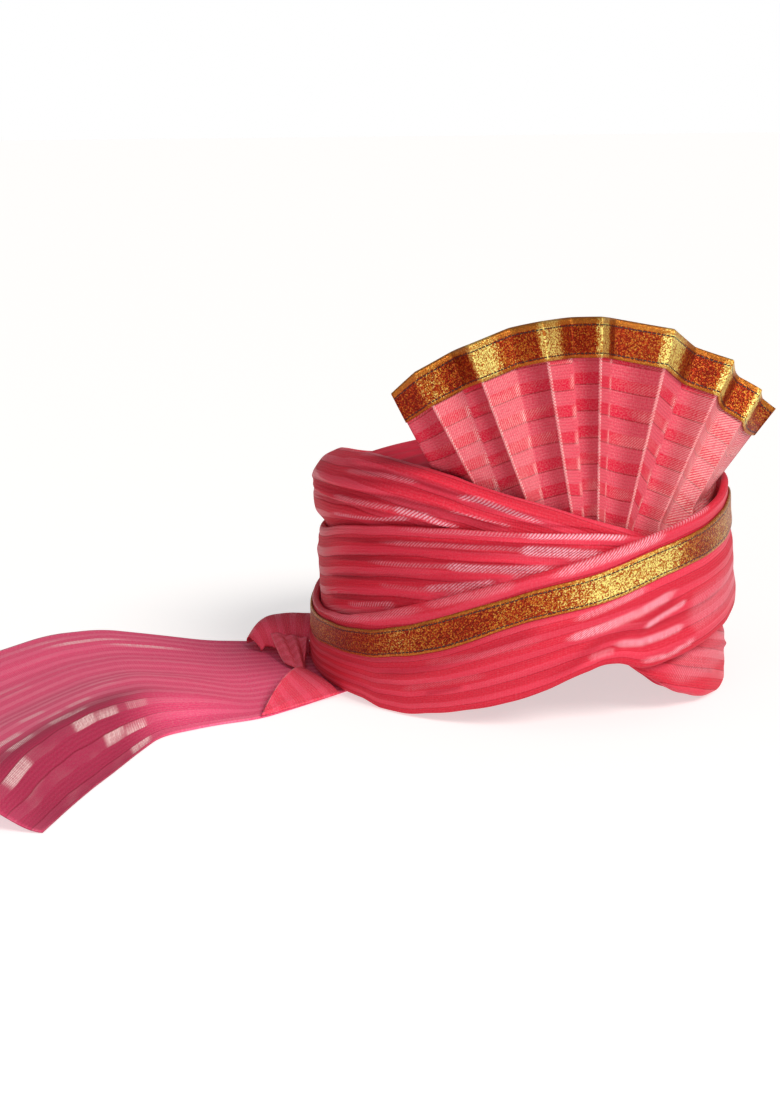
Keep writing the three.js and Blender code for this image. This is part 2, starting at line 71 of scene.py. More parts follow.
# Heights and offsets of the turns around the head: 0 degrees is the front, + the wearer's left
TURN_COLUMNS = [
    "angle", "hem", "low", "high", "lace", "lace_top", "mid", "rim", "bulge", "rim_in", "shoulder",
]
TURN_ROWS = [
    [-150, 0, 3, 50, 29, 44, 68, 99, 18.5, 4, 93],
    [-120, 0, 0, 38.5, 20, 34.5, 71, 109, 20.5, 4, 103],
    [-100, 0, 0, 36, 19, 32.3, 75, 114.5, 21.5, 4, 108],
    [-85, 0, 0, 38.2, 21, 33.6, 81.5, 117.5, 21.2, 4.5, 112],
    [-70, 0, 0, 44, 23.2, 36.6, 86.5, 119.7, 20.5, 6, 113],
    [-58, 2, 0.3, 51, 27.6, 42, 90, 119, 19.5, 7.6, 112],
    [-48, 5, 3, 57.5, 32.5, 48.3, 91.5, 117, 18.4, 8.3, 110],
    [-38, 9.5, 7.2, 64, 39.6, 55.6, 92.2, 112.8, 17.2, 8.3, 106],
    [-28, 14.5, 12.3, 70, 48, 62.4, 92.3, 108.5, 16.2, 8.3, 102],
    [-18, 21.5, 19.4, 76, 54.2, 68.6, 92.2, 104.2, 15.4, 8.3, 98],
    [-8, 29, 27.5, 81.5, 58.6, 73.2, 92, 98.9, 14.6, 8.8, 93],
    [0, 31, 30.8, 86, 62.6, 77.8, 91, 94.8, 14, 9.2, 90],
    [8, 24.8, 27.4, 89.7, 67.6, 82.6, 89.3, 90, 14, 10.3, 89],
    [16, 16.8, 29.2, 93, 71.6, 86, 87.5, 82, 14, 10.3, 89],
    [28, 7, 32.9, 97.6, 75.4, 90.4, 83, 78, 14, 10.3, 90],
    [42, 1.6, 37, 100.8, 78.4, 94.6, 80, 78, 14, 10.3, 91],
    [56, 0, 39.6, 103.2, 80, 96.5, 80, 79, 14, 9, 92],
    [75, 0, 38, 103.5, 79, 95, 86, 93, 14, 4, 93],
    [100, 0, 31, 97.5, 73.5, 89, 87, 96, 14.5, 4, 92],
    [125, 0, 22, 88.5, 64, 79.5, 82, 94, 15.5, 4, 89],
    [150, 0, 15, 77, 54, 69, 75.5, 92, 16.5, 4, 87],
    [180, 0, 10, 65, 43, 58, 70, 93, 17.5, 4, 86],
]
TAIL_DOOR = {"from": -130, "to": -70, "lift": 2.0}

# Creases pressed into the turns, as depth, half width, lap and course. The depth is above 0 for a
# ridge and below 0 for a valley, lap is whether the cloth above laps over as a step, and the course is
# a row of [angle, height]
OUTER_CREASES = [
    [-2, 4.5, False, [[-26, 17], [-12, 32], [-5, 43], [6, 50], [14, 57], [24, 62]]],
    [1, 5, False, [[-12, 45], [-5, 48.5], [6, 55], [18, 63.7], [34, 69]]],
    [1, 4, False, [[6, 48], [13, 52.5], [22, 57], [40, 63]]],
    [1, 4.5, False, [[-1, 41], [6, 40], [13, 42.3], [22, 46], [40, 54]]],
    [-0.9, 3, False, [[0, 45], [10, 48], [24, 53], [44, 60]]],
    [-0.7, 2, False, [[-50, 12], [-43, 16], [-37, 20]]],
    [-0.8, 5, False, [[-70, 14], [-50, 24], [-30, 40], [-15, 52]]],
    [0.8, 5, False, [[-56, 12], [-45, 18.8], [-20, 36.6], [-6, 42]]],
    [-0.8, 3.5, False, [[48, 45], [75, 50], [110, 44], [150, 27]]],
    [0.8, 4, False, [[60, 60], [90, 62], [125, 48], [160, 34]]],
    [-0.9, 3.5, False, [[170, 28], [205, 16], [235, 12], [262, 14]]],
]
BASE_CREASES = [
    [-1, 3, False, [[22, 38], [34, 39], [56, 25.7], [80, 20]]],
    [-1.2, 1.6, False, [[20, 31], [49, 23.2], [72, 14]]],
    [-1, 2.5, False, [[16, 26], [28, 20.8], [44, 11.7]]],
    [0.9, 3, False, [[30, 30], [48, 28], [75, 24], [110, 12]]],
    [0.9, 3.5, False, [[12, 22], [22, 14], [36, 6]]],
    [-0.9, 3, False, [[80, 30], [110, 22], [150, 8]]],
]
MIDDLE_CREASES = [
    [2, 5, True, [[-96, 72], [-72, 80], [-58, 84.5], [-46, 87], [-30, 88.5], [-15, 88], [6, 85.5]]],
    [2.6, 6.5, True, [[-96, 62], [-76, 70], [-60, 75.5], [-46, 78.3], [-30, 79], [-12, 79.5]]],
    [2.6, 6, True, [[-96, 53], [-78, 60], [-64, 64.5], [-46, 69.3], [-32, 71.5], [-20, 73.8]]],
    [2.4, 6, True, [[-96, 43], [-78, 49.5], [-62, 54.5], [-48, 59.3], [-34, 65.4]]],
    [1.4, 3.5, True, [[-90, 38.5], [-76, 41.8], [-64, 46.8], [-54, 52]]],
    [-0.8, 1.6, False, [[-84, 77], [-60, 79.8], [-44, 82.5], [-26, 82.5]]],
    [-0.8, 1.6, False, [[-80, 67], [-60, 71.2], [-42, 75.2], [-26, 76]]],
    [1.4, 3.5, True, [[100, 82], [140, 72], [180, 64], [220, 64], [262, 70]]],
    [-1.4, 3, False, [[180, 58], [220, 56], [262, 60]]],
]
TOP_CREASES = [
    [3.4, 6, True, [[-110, 95], [-88, 96.5], [-66, 97.5], [-54, 96.5], [-47, 94.5], [-40, 90.5]]],
    [1.8, 5, True, [[-106, 103], [-79, 103.7], [-58, 105.5], [-46, 103], [-35, 98], [-26, 94]]],
    [1.6, 4, True, [[-96, 114], [-64, 116.5], [-52, 114], [-40, 109.5], [-28, 103.5], [-12, 96]]],
    [-0.9, 1.8, False, [[-96, 108], [-77, 109], [-60, 110.2], [-48, 108], [-34, 102.5], [-22, 97.5]]],
    [-0.8, 1.6, False, [[-90, 100], [-66, 101.6], [-50, 99.6], [-42, 96.8]]],
    [1, 2.6, False, [[-96, 87], [-82, 89.5], [-68, 92], [-58, 93.8]]],
    [1.8, 4.5, True, [[-180, 84], [-150, 88], [-120, 95], [-104, 98]]],
    [-1.3, 3, False, [[-180, 80], [-150, 82], [-120, 88], [-104, 92]]],
    [1.6, 4.5, True, [[80, 90], [110, 90], [150, 84], [180, 84]]],
]

# Painted highlights where the woven satin glints, as strength, half width and course, a row of [angle,
# height]
OUTER_GLINTS = [
    [0.5, 1.8, [[-12, 52.6], [-5, 57], [1, 61], [9, 66.5]]],
    [0.85, 2.2, [[-14, 43.4], [-5, 48.5], [6, 55.1], [18, 63.7]]],
    [0.9, 1.7, [[6, 47.6], [13, 52.5], [21, 57.1]]],
    [0.85, 2.2, [[-2, 41.2], [6, 40.2], [13, 42.3], [21, 45.4]]],
    [0.7, 1.4, [[6, 31], [15, 32.4], [25, 38]]],
    [0.4, 2.2, [[-8, 35], [-1, 38.1]]],
    [0.12, 1.6, [[-56, 12.2], [-45, 18.8], [-32, 26]]],
    [0.12, 2, [[-50, 27], [-34, 35.1], [-18, 45]]],
    [0.3, 11, [[20, 48], [40, 55], [74, 60]]],
    [0.7, 2.6, [[-18, 73], [-5, 80.8], [6, 86.5], [14, 91]]],
    [0.7, 3, [[4, 90.6], [18, 95.9], [34, 101.5]]],
    [0.3, 2.5, [[-88, 36], [-75, 39.4], [-63, 45.7], [-48, 54.5]]],
    [0.3, 2.5, [[-50, 55], [-37, 62.5], [-25, 70]]],
    [0.5, 3, [[60, 62], [90, 62], [120, 50]]],
    [0.4, 3, [[170, 34], [210, 24], [250, 20]]],
]
MIDDLE_GLINTS = [
    [0.3, 1.4, [[-60, 88.5], [-46, 90.4], [-30, 92], [-20, 92]]],
    [0.9, 2.2, [[-26, 91.5], [-15, 92], [-4, 91.2], [4, 90]]],
    [0.3, 1.4, [[-66, 80.5], [-46, 84], [-30, 85.1], [-22, 84.6]]],
    [1, 2.8, [[-26, 84.6], [-15, 84], [-3, 82]]],
    [0.3, 1.5, [[-70, 69.4], [-46, 74], [-36, 74.6]]],
    [0.9, 2.6, [[-46, 74], [-30, 74.8], [-15, 76]]],
    [0.2, 1.5, [[-66, 59.4], [-48, 61.4]]],
    [0.7, 2.2, [[-52, 61], [-40, 65.6], [-30, 69.1]]],
    [0.5, 1.5, [[-80, 44], [-68, 48.8], [-59, 52.4]]],
    [0.4, 3, [[110, 82], [150, 72], [190, 66]]],
]
TOP_GLINTS = [
    [0.3, 1.4, [[-82, 117.6], [-64, 122], [-52, 120], [-40, 117]]],
    [0.7, 2, [[-44, 118], [-30, 113.3], [-20, 108.3], [-4, 99.1], [8, 92.5]]],
    [0.3, 1.3, [[-80, 111], [-63, 113.1], [-52, 112]]],
    [0.6, 1.5, [[-42, 107.5], [-36, 106.6], [-29, 102.7], [-18, 96]]],
    [0.5, 1.2, [[-44, 101], [-36, 98.6], [-27, 94.6]]],
    [0.4, 1.1, [[-82, 98.4], [-58, 99.4]]],
    [0.9, 1.3, [[-60, 99.4], [-50, 97.8], [-41, 92.4]]],
    [0.7, 1.2, [[-88, 87.4], [-68, 91], [-55, 93.8]]],
    [0.4, 3, [[-170, 88], [-140, 94], [-110, 104]]],
]
BASE_GLINTS = [
    [0.3, 9, [[16, 22], [46, 22], [90, 18]]],
]

# Painted reflection on the band's gilt: how bright it is painted toward the light, as [angle, share]
BAND_GILT_REFLECTION = [
    [-180, 0.4], [-110, 0.4], [-80, 0.1], [-52, 0.15], [-38, 0.05], [-24, 0.15], [-12, 0.45],
    [-4, 0.9], [14, 1], [20, 0.35], [27, 0.15], [50, 0.4], [90, 0.5], [180, 0.4],
]

# Fold lines of the fan, from the wearer's right to left, as in the part: the angle and height of the
# foot, the lean and reach of the line, and whether it is pressed out (1) or in (-1)
FAN_ROWS = [
    [-52, 115.5, -38.3, 162, 0],
    [-39, 113.5, -32.8, 164, 1],
    [-31.6, 110.5, -27, 163, -1],
    [-24, 107.5, -23.6, 164, 1],
    [-18.5, 104.5, -16.7, 163, -1],
    [-10.8, 100.5, -11.9, 164, 1],
    [-6.6, 98.5, -6.2, 161.5, -1],
    [-3, 97, -2.4, 162, 1],
    [0, 95.5, 1.6, 159.5, -1],
    [6, 92.5, 10.5, 157.5, 1],
    [9.5, 91.5, 19, 152.5, -1],
    [17, 92.5, 24.2, 152, 1],
    [21, 93.5, 31, 150, -1],
    [31, 97, 34.6, 149, 1],
    [39.5, 98.5, 38.2, 149, -0.7],
    [58, 101.5, 41, 149, 0.3],
]
FAN_CENTRE_HEIGHT = 28
FAN_FRONT = 106
FAN_TURN = math.radians(28) / 98
FAN_WALL = 1.0
FAN_PLEAT_TOP = 6.0
FAN_PLEAT_FOOT = 1.5
FAN_TUCK = 15
FAN_FLOOR = 81
FAN_LANE = [[-60, 5.4], [0, 5.6], [8, 6.4], [17, 8], [31, 11], [42, 13.2], [60, 15.4]]
FAN_STEPS = 18
LACE_WIDTH = 17
BAND_WIDTH = 15

# Sections of the tail from the turban to its free end, as in the part
TAIL_COLUMNS = ["near_x", "near_y", "far_x", "far_y", "crest", "crest_at"]
TAIL_ROWS = [
    [-88, -14, -68, 60, 0, 0.2],
    [-112, -30, -88, 76, 0, 0.2],
    [-131, -43, -119, 86, 0, 0.2],
    [-154, -57, -143, 95, 0, 0.2],
    [-178, -61, -167, 117, 5, 0.2],
    [-205, -71, -192, 138, 10, 0.2],
    [-222, -96, -222, 134, 14, 0.18],
    [-236, -118, -258, 102, 17, 0.17],
    [-250, -139, -310, 46, 18, 0.17],
    [-264, -162, -366, -22, 17, 0.18],
    [-280, -190, -428, -128, 13, 0.22],
]
TAIL_CREST_HALF = 0.3
TAIL_WALL = 1.0
# Painted highlights where the tail's satin glints, as strength, half width in mm and course, a row of
# [row of the tail, share of the way across]
TAIL_GLINTS = [
    [1, 7, [[5.3, 0.05], [6.2, 0.04]]],
    [1, 7, [[6.1, 0.11], [7, 0.1]]],
    [1, 7, [[6.9, 0.16], [7.7, 0.15]]],
    [0.7, 6, [[7.3, 0.23], [8, 0.22]]],
    [0.6, 6, [[7.5, 0.33], [8.1, 0.34]]],
    [0.9, 7, [[8.3, 0.24], [9, 0.23]]],
    [0.9, 7, [[8.9, 0.14], [9.6, 0.13]]],
    [0.5, 6, [[6.5, 0.26], [7.3, 0.25]]],
    [0.4, 5, [[5.5, 0.36], [6.3, 0.36]]],
    [0.4, 6, [[5.1, 0.15], [5.9, 0.15]]],
    [0.4, 5, [[6.9, 0.66], [7.5, 0.66]]],
    [0.8, 5, [[3.4, 0.83], [4.6, 0.84], [5.4, 0.87], [6.5, 0.93]]],
]
TAIL_FLAT_WIDTH = 170
# The rolled fold is an arch from near_y to far_y, which starts clear of the head's ellipse, narrows to
# its end and closes as a hood over the last part of its length
ROLL = {
    "near_y": (46, 60), "far_y": (90, 79), "foot": 2.2, "height": 18.5, "clear": 24.3, "end_x": -125.5,
    "hood": 0.6,
}
RUFFLE = {"top": [(-103, 40), (-118, 57)], "foot": [(-109, 26), (-118, 31)], "bow": 13}
FLAP = {"hem_near": (-107, -30), "hem_far": (-113, 20), "tip": (-153, -57)}


# Curves and places


def mix(start, end, share):
    return start + (end - start) * share


def smooth_step(low, high, value):
    share = np.clip((value - low) / (high - low), 0, 1)
    return share * share * (3 - 2 * share)


def smooth_curve(points):
    """A curve through the points [place, value] that is flat at each high and low point."""
    places, values = np.array(points, float).T
    gaps = np.diff(places)
    rises = np.diff(values) / gaps
    slopes = np.zeros(len(places))
    product = rises[:-1] * rises[1:]
    total = np.where(np.abs(rises[:-1] + rises[1:]) < 1e-9, 1, rises[:-1] + rises[1:])
    slopes[1:-1] = np.where(product > 0, 2 * product / total, 0)

    def curve(place):
        place = np.asarray(place, float)
        at = np.clip(np.searchsorted(places, place, side="right") - 1, 0, len(gaps) - 1)
        share = np.clip((place - places[at]) / gaps[at], 0, 1)
        start = values[at] + slopes[at] * gaps[at] * share
        end = values[at + 1] - slopes[at + 1] * gaps[at] * (1 - share)
        return mix(start, end, share * share * (3 - 2 * share))

    return curve


def turn_curve(column):
    at = TURN_COLUMNS.index(column)
    points = [[row[0] + shift, row[at]] for shift in (-360, 0, 360) for row in TURN_ROWS]
    return smooth_curve(points)


turn_curves = {column: turn_curve(column) for column in TURN_COLUMNS[1:]}


def turns_at(angle):
    """Every height and offset of the turns at these angles."""
    at = {column: curve(angle) for column, curve in turn_curves.items()}
    door = smooth_step(TAIL_DOOR["from"] - 8, TAIL_DOOR["from"], angle)
    door = door * (1 - smooth_step(TAIL_DOOR["to"], TAIL_DOOR["to"] + 8, angle))
    lift = TAIL_DOOR["lift"] * door
    at["hem"] = np.maximum(at["hem"], lift)
    at["low"] = np.maximum(at["low"], lift)
    return at


def on_floor(x, y, height):
    """Points in metres from places in mm beside the head's middle."""
    x, y, height = np.broadcast_arrays(x, y, height)
    return np.stack([HEAD_X + x * MM, HEAD_Y + y * MM, height * MM], axis=-1)


def head_reach(angle, out, height):
    """Places x and y in mm beside the head, out from its ellipse and leaning in with the height."""
    side = smooth_step(*LEAN["from"], angle) * (1 - smooth_step(*LEAN["to"], angle))
    reach = out - LEAN["share"] * side * height
    turn = np.radians(angle)
    return (HEAD_HALF_WIDTH + reach) * np.sin(turn), -(HEAD_HALF_LENGTH + reach) * np.cos(turn)


def beside_head(angle, out, height):
    x, y = head_reach(angle, out, height)
    return on_floor(x, y, height)


def ripple_noise(seed, count, waves):
    """A soft wandering line of count values that closes on itself, between about -1 and 1."""
    chance = np.random.default_rng(seed)
    turn = np.linspace(0, 2 * math.pi, count, endpoint=False)
    line = np.zeros(count)
    for wave in range(1, waves + 1):
        height = chance.uniform(0.4, 1) / math.sqrt(wave)
        line += height * np.sin(wave * turn + chance.uniform(0, 2 * math.pi))
    return line / np.abs(line).max()


def beside_course(x, y, course):
    """How far places x and y lie from a course of [x, y] corners, how far above it, and what share of
    the way along it they are."""
    far = np.full(np.broadcast(x, y).shape, 1e9)
    above, along = np.zeros(far.shape), np.zeros(far.shape)
    for i, ((x0, y0), (x1, y1)) in enumerate(zip(course[:-1], course[1:])):
        dx, dy = x1 - x0, y1 - y0
        t = np.clip(((x - x0) * dx + (y - y0) * dy) / (dx * dx + dy * dy), 0, 1)
        across_x, across_y = x - x0 - t * dx, y - y0 - t * dy
        distance = np.hypot(across_x, across_y)
        closer = distance < far
        far = np.where(closer, distance, far)
        above = np.where(closer, np.sign(across_y) * distance, above)
        along = np.where(closer, (i + t) / (len(course) - 1), along)
    return far, above, along


def fading_ends(along):
    return smooth_step(-0.02, 0.22, along) * (1 - smooth_step(0.78, 1.02, along))


# Meshes


def grid_mesh(name, points, flat, around=False, across=False, **marks):
    """A mesh from a grid of points. flat is the grid of cloth coordinates in metres, with one row or
    column more where the grid closes on itself. Marks are shares from 0 to 1 at each point: glint is a
    painted highlight where the satin would catch the light, and shade is painted shade in the creases,
    on the tail's front slope and on fan panels turned from the light."""
    rows, columns = points.shape[:2]
    spans = rows if around else rows - 1
    steps = columns if across else columns - 1
    here, step = np.meshgrid(np.arange(spans), np.arange(steps), indexing="ij")
    next_row, next_step = (here + 1) % rows, (step + 1) % columns
    corners = [(here, step), (next_row, step), (next_row, next_step), (here, next_step)]
    faces = np.stack([row * columns + column for row, column in corners], axis=-1).reshape(-1, 4)
    flat_corners = [(here, step), (here + 1, step), (here + 1, step + 1), (here, step + 1)]
    loops = np.stack([flat[row, column] for row, column in flat_corners], axis=-2).reshape(-1, 2)
    mesh = bpy.data.meshes.new(name)
    mesh.from_pydata(points.reshape(-1, 3).tolist(), [], faces.tolist())
    mesh.uv_layers.new(name="cloth").data.foreach_set("uv", loops.ravel())
    mesh.polygons.foreach_set("use_smooth", np.ones(len(faces), bool))
    for mark, shares in marks.items():
        values = np.broadcast_to(shares, (rows, columns)).ravel().astype(np.float32)
        mesh.attributes.new(mark, "FLOAT", "POINT").data.foreach_set("value", values)
    piece = bpy.data.objects.new(name, mesh)
    bpy.context.collection.objects.link(piece)
    return piece


def edit_all(piece, operator, **settings):
    """Runs an edit-mode operator on the whole of a piece."""
    bpy.ops.object.select_all(action="DESELECT")
    bpy.context.view_layer.objects.active = piece
    piece.select_set(True)
    bpy.ops.object.mode_set(mode="EDIT")
    bpy.ops.mesh.select_all(action="SELECT")
    operator(**settings)
    bpy.ops.object.mode_set(mode="OBJECT")
    piece.select_set(False)


def faces_outward(piece):
    edit_all(piece, bpy.ops.mesh.normals_make_consistent, inside=False)


def give_wall(piece, thickness):
    """Gives an open sheet its thickness in mm and applies it."""
    wall = piece.modifiers.new("wall", "SOLIDIFY")
    wall.thickness = thickness * MM
    wall.offset = 0
    bpy.context.view_layer.objects.active = piece
    bpy.ops.object.modifier_apply(modifier="wall")


# The turns are meshed at this many angles, and a degree is this many mm along their cloth
STATIONS = 420
DEGREE = 1.95
ANGLES = np.linspace(-180, 180, STATIONS, endpoint=False)
AT = turns_at(ANGLES)


def spline_section(controls):
    """Closed smooth sections over the angles, through controls that each give an offset out, a height
    and the number of steps that follow."""
    spread = [[np.broadcast_to(value, ANGLES.shape) for value in control[:2]] for control in controls]
    pts = np.array(spread).transpose(2, 0, 1)
    number = len(controls)
    gaps = np.maximum(np.linalg.norm(np.roll(pts, -1, axis=1) - pts, axis=2), 0.05) ** 0.5
    sections = []
    for i, (_, _, steps) in enumerate(controls):
        p0, p1, p2, p3 = (pts[:, (i + k) % number] for k in (-1, 0, 1, 2))
        d0, d1, d2 = (gaps[:, (i + k) % number, None] for k in (-1, 0, 1))
        m1 = (p1 - p0) / d0 - (p2 - p0) / (d0 + d1) + (p2 - p1) / d1
        m2 = (p2 - p1) / d1 - (p3 - p1) / (d1 + d2) + (p3 - p2) / d2
        a = 2 * p1 - 2 * p2 + d1 * (m1 + m2)
        b = -3 * p1 + 3 * p2 - d1 * (2 * m1 + m2)
        sections += [((a * t + b) * t + d1 * m1) * t + p1 for t in np.arange(steps) / steps]
    return np.stack(sections, axis=1)


def section_normals(section):
    ahead = np.roll(section, -1, axis=1) - np.roll(section, 1, axis=1)
    length = np.maximum(np.linalg.norm(ahead, axis=2, keepdims=True), 1e-6)
    ahead = ahead / length
    return np.stack([ahead[..., 1], -ahead[..., 0]], axis=-1)


def beside_courses(table, height):
    """For each row of a table of courses round the head, its other values, and how the places at the
    angles and these heights lie beside its course."""
    for shift in (-360, 0, 360):
        for *values, course in table:
            places = [[(angle + shift) * DEGREE, high] for angle, high in course]
            yield values, *beside_course(ANGLES[:, None] * DEGREE, height, places)


def hill(distance, half):
    return np.exp(-((distance / half) ** 2))


def creased(creases, height, soft_folds):
    """How far the creases and the soft folds of a turn move its face out, in mm, and how much painted
    shade darkens the cloth in the folds and under the laps, from 0 to 1."""
    move = soft_folds + np.zeros(height.shape)
    # Painted shade in the valleys of the soft folds
    shade = np.clip(0.25 - 0.5 * soft_folds, 0, 0.3)
    for (depth, half, laps), far, above, along in beside_courses(creases, height):
        ends = fading_ends(along)
        if laps:
            shape = smooth_step(-1.2, 0.4, above) * np.exp(-np.maximum(above, 0) / half)
            shape = shape - 0.5 * hill(above + 2.2, 1.6)
            shape = shape * (1 - smooth_step(3 * half, 4 * half, far))
            # Painted shade in the crease under a lap and beneath it, taken off the lit lip above
            under = 0.4 * ends * smooth_step(-9, -2, above) * (above < 0) * (far < 12)
            shade = np.maximum(np.maximum(shade, 0.75 * ends * hill(above + 1.6, 1.3)), under)
            shade = shade * (1 - 0.9 * ends * hill(above - 1.0, 1.6))
        else:
            shape = hill(far, half)
            # Painted shade along the floor of a valley
            valley = 0.5 if depth < 0 else 0
            shade = np.maximum(shade, valley * ends * hill(far, 0.8 * half))
        move = move + depth * shape * ends
    return move, shade


def glinting(glints, height):
    """How much painted highlight the satin of a turn gets where it glints, from 0 to 1."""
    share = np.zeros(height.shape)
    for (strength, half), far, _, along in beside_courses(glints, height):
        ends = smooth_step(-0.02, 0.14, along) * (1 - smooth_step(0.86, 1.02, along))
        near = 1 - smooth_step(0.45, 1.15, far / half / (0.3 + 0.7 * ends))
        share = np.maximum(share, strength * near * ends)
    return share


def cloth_places(along, across):
    """Cloth coordinates in metres from mm along and across the cloth."""
    return np.stack(np.broadcast_arrays(along, across), axis=-1) * MM


def wound_piece(name, section, across, fold=None, **marks):
    """A turn around the head from its sections, as (out, height) in mm for each angle. across gives
    the cloth coordinate across the turn in mm, and fold moves each point out along its normal."""
    if fold is not None:
        section = section + section_normals(section) * fold[..., None]
    points = beside_head(ANGLES[:, None], section[..., 0], section[..., 1])
    closed = np.pad(across, ((0, 1), (0, 1)), mode="wrap")
    flat = cloth_places(np.append(ANGLES, 180)[:, None] * DEGREE, closed)
    piece = grid_mesh(name, points, flat, around=True, across=True, **marks)
    faces_outward(piece)
    return piece


# Materials


def linear(hex_colour):
    """An sRGB hex colour as linear RGBA."""
    parts = [int(hex_colour[i : i + 2], 16) / 255 for i in (1, 3, 5)]
    return [p / 12.92 if p <= 0.04045 else ((p + 0.055) / 1.055) ** 2.4 for p in parts] + [1]


def add_node(material, kind, inputs=(), stops=(), **settings):
    """Adds a node and returns it. inputs holds a value, another node or a node's output for each input
    by its name or number, and stops the places and tones of a colour ramp."""
    tree = material.node_tree
    node = tree.nodes.new(kind)
    for key, value in settings.items():
        setattr(node, key, value)
    for key, value in dict(inputs).items():
        if isinstance(value, bpy.types.Node):
            value = value.outputs[0]
        if isinstance(value, bpy.types.NodeSocket):
            tree.links.new(value, node.inputs[key])
        else:
            node.inputs[key].default_value = value
    while stops and len(node.color_ramp.elements) < len(stops):
        node.color_ramp.elements.new(0.5)
    for i, (place, tone) in enumerate(stops):
        node.color_ramp.elements[i].position = place
        node.color_ramp.elements[i].color = linear(tone) if isinstance(tone, str) else [tone, tone, tone, 1]
    return node


def new_material(name):
    material = bpy.data.materials.new(name)
    material.use_nodes = True
    material.node_tree.nodes.clear()
    return material


MATH, MIX, RAMP = "ShaderNodeMath", "ShaderNodeMix", "ShaderNodeValToRGB"
NOISE, MAPPING = "ShaderNodeTexNoise", "ShaderNodeMapping"
PRINCIPLED, SURFACE = "ShaderNodeBsdfPrincipled", "ShaderNodeOutputMaterial"


def striped_georgette(name, cloth):
    """Thin georgette with woven satin stripes. Satin threads lie flat and catch the light, the crepe
    between them is dull and ribbed, and a thin dark line parts the two. The glint mark and the patches
    paint highlights in the pale tone, and the shade mark paints shade in the dark tone."""
    m = new_material(name)
    add = partial(add_node, m)
    uv = add("ShaderNodeUVMap", uv_map="cloth")
    place = add("ShaderNodeSeparateXYZ", {0: uv})
    along, across = place.outputs[0], place.outputs[1]
    # Noises over the cloth: soft waves of about 60 by 25 mm that bend the stripes a little, specks of the
    # threads, places of about 50 by 12 mm where highlights are painted on the satin stripes, short floats
    # that break up the painted glints, drawn 5 by 1 mm to show, and long wrinkles
    noises = []
    for scale, detail in [((16, 40), 1), ((900, 1300), 1), ((20, 80), 1), ((950, 190), 2), ((12, 150), 3)]:
        size = add(MAPPING, {0: uv, "Scale": (*scale, 1)})
        noises.append(add(NOISE, {"Vector": size, "Scale": 1, "Detail": detail}))
    wave, speck, patch, broken, wrinkle = noises
    bend = add(MATH, {0: wave, 1: cloth["bend"], 2: -cloth["bend"] / 2}, operation="MULTIPLY_ADD")
    stripes = add(MATH, {0: across, 1: 1000 / cloth["period"], 2: bend}, operation="MULTIPLY_ADD")
    phase = add(MATH, {0: stripes}, operation="FRACT")
    satin = add(RAMP, {0: phase}, stops=[(0.0, 0.0), (0.04, 1.0), (0.44, 1.0), (0.48, 0.0)])
    edge = add(RAMP, {0: phase}, stops=[(0.43, 0.0), (0.47, 1.0), (0.51, 0.0)])
    # Ribs of the crepe and its threads: the real ones are 0.3 mm apart, drawn at 1.5 and 1.2 mm to show
    rib_turn = add(MATH, {0: across, 1: 2 * math.pi / 0.0015}, operation="MULTIPLY")
    rib = add(MATH, {0: rib_turn}, operation="SINE")
    thread_turn = add(MATH, {0: along, 1: 2 * math.pi / 0.0012}, operation="MULTIPLY")
    thread = add(MATH, {0: thread_turn}, operation="SINE")
    # Twill of the glinting satin: slanting threads, drawn 1.9 mm apart to show
    twill_turn = add(MATH, {0: along, 1: 2 * math.pi / 0.0019, 2: rib_turn}, operation="MULTIPLY_ADD")
    twill = add(MATH, {0: twill_turn}, operation="SINE")
    twill_light = add(MATH, {0: twill, 1: 0.5, 2: 0.52}, operation="MULTIPLY_ADD")
    # Painted highlights: random patches on the satin and the glint mark, which on_satin keeps to the satin
    # stripes
    patches = add(RAMP, {0: patch}, stops=[(0.5, 0.0), (0.66, cloth["glints"])])
    satin_patch = add(MATH, {0: patches, 1: satin}, operation="MULTIPLY")
    marked = add("ShaderNodeAttribute", attribute_name="glint")
    on_satin = {1: cloth["on_satin"], 2: 1 - cloth["on_satin"]}
    woven_share = add(MATH, {0: satin, **on_satin}, operation="MULTIPLY_ADD")
    marks = {0: marked.outputs["Fac"], 1: woven_share}
    glint = add(MATH, {**marks, 2: satin_patch}, operation="MULTIPLY_ADD")
    broken_light = add(RAMP, {0: broken}, stops=[(0.3, 0.45), (0.58, 1.15)])
    threads = add(MATH, {0: broken_light, 1: twill_light}, operation="MULTIPLY")
    glint_share = add(MATH, {0: glint, 1: threads}, operation="MULTIPLY")
    tones = [linear(cloth[tone]) for tone in ("matte", "satin", "shade", "glint")]
    woven = add(MIX, {0: satin, 6: tones[0], 7: tones[1]}, data_type="RGBA")
    # Painted shade: the shade mark darkens the cloth and the lines between the stripes
    shade_mark = add("ShaderNodeAttribute", attribute_name="shade")
    dark = shade_mark.outputs["Fac"]
    line_share = add(MATH, {0: dark, 1: 0.85, 2: cloth["line"]}, operation="MULTIPLY_ADD")
    edge_share = add(MATH, {0: edge, 1: line_share}, operation="MULTIPLY")
    lined = add(MIX, {0: edge_share, 6: woven.outputs[2], 7: tones[2]}, data_type="RGBA")
    crepe = add(MATH, {0: satin, 1: -0.8, 2: 1.0}, operation="MULTIPLY_ADD")
    rib_dark = add(MATH, {0: rib, 1: 0.1, 2: 0.1}, operation="MULTIPLY_ADD")
    rib_share = add(MATH, {0: rib_dark, 1: crepe}, operation="MULTIPLY")
    ribbed = add(MIX, {0: rib_share, 6: lined.outputs[2], 7: tones[2]}, data_type="RGBA")
    speck_share = add(RAMP, {0: speck}, stops=[(0.4, 0.0), (0.75, cloth["speck"])])
    specked = add(MIX, {0: speck_share, 6: ribbed.outputs[2], 7: tones[3]}, data_type="RGBA")
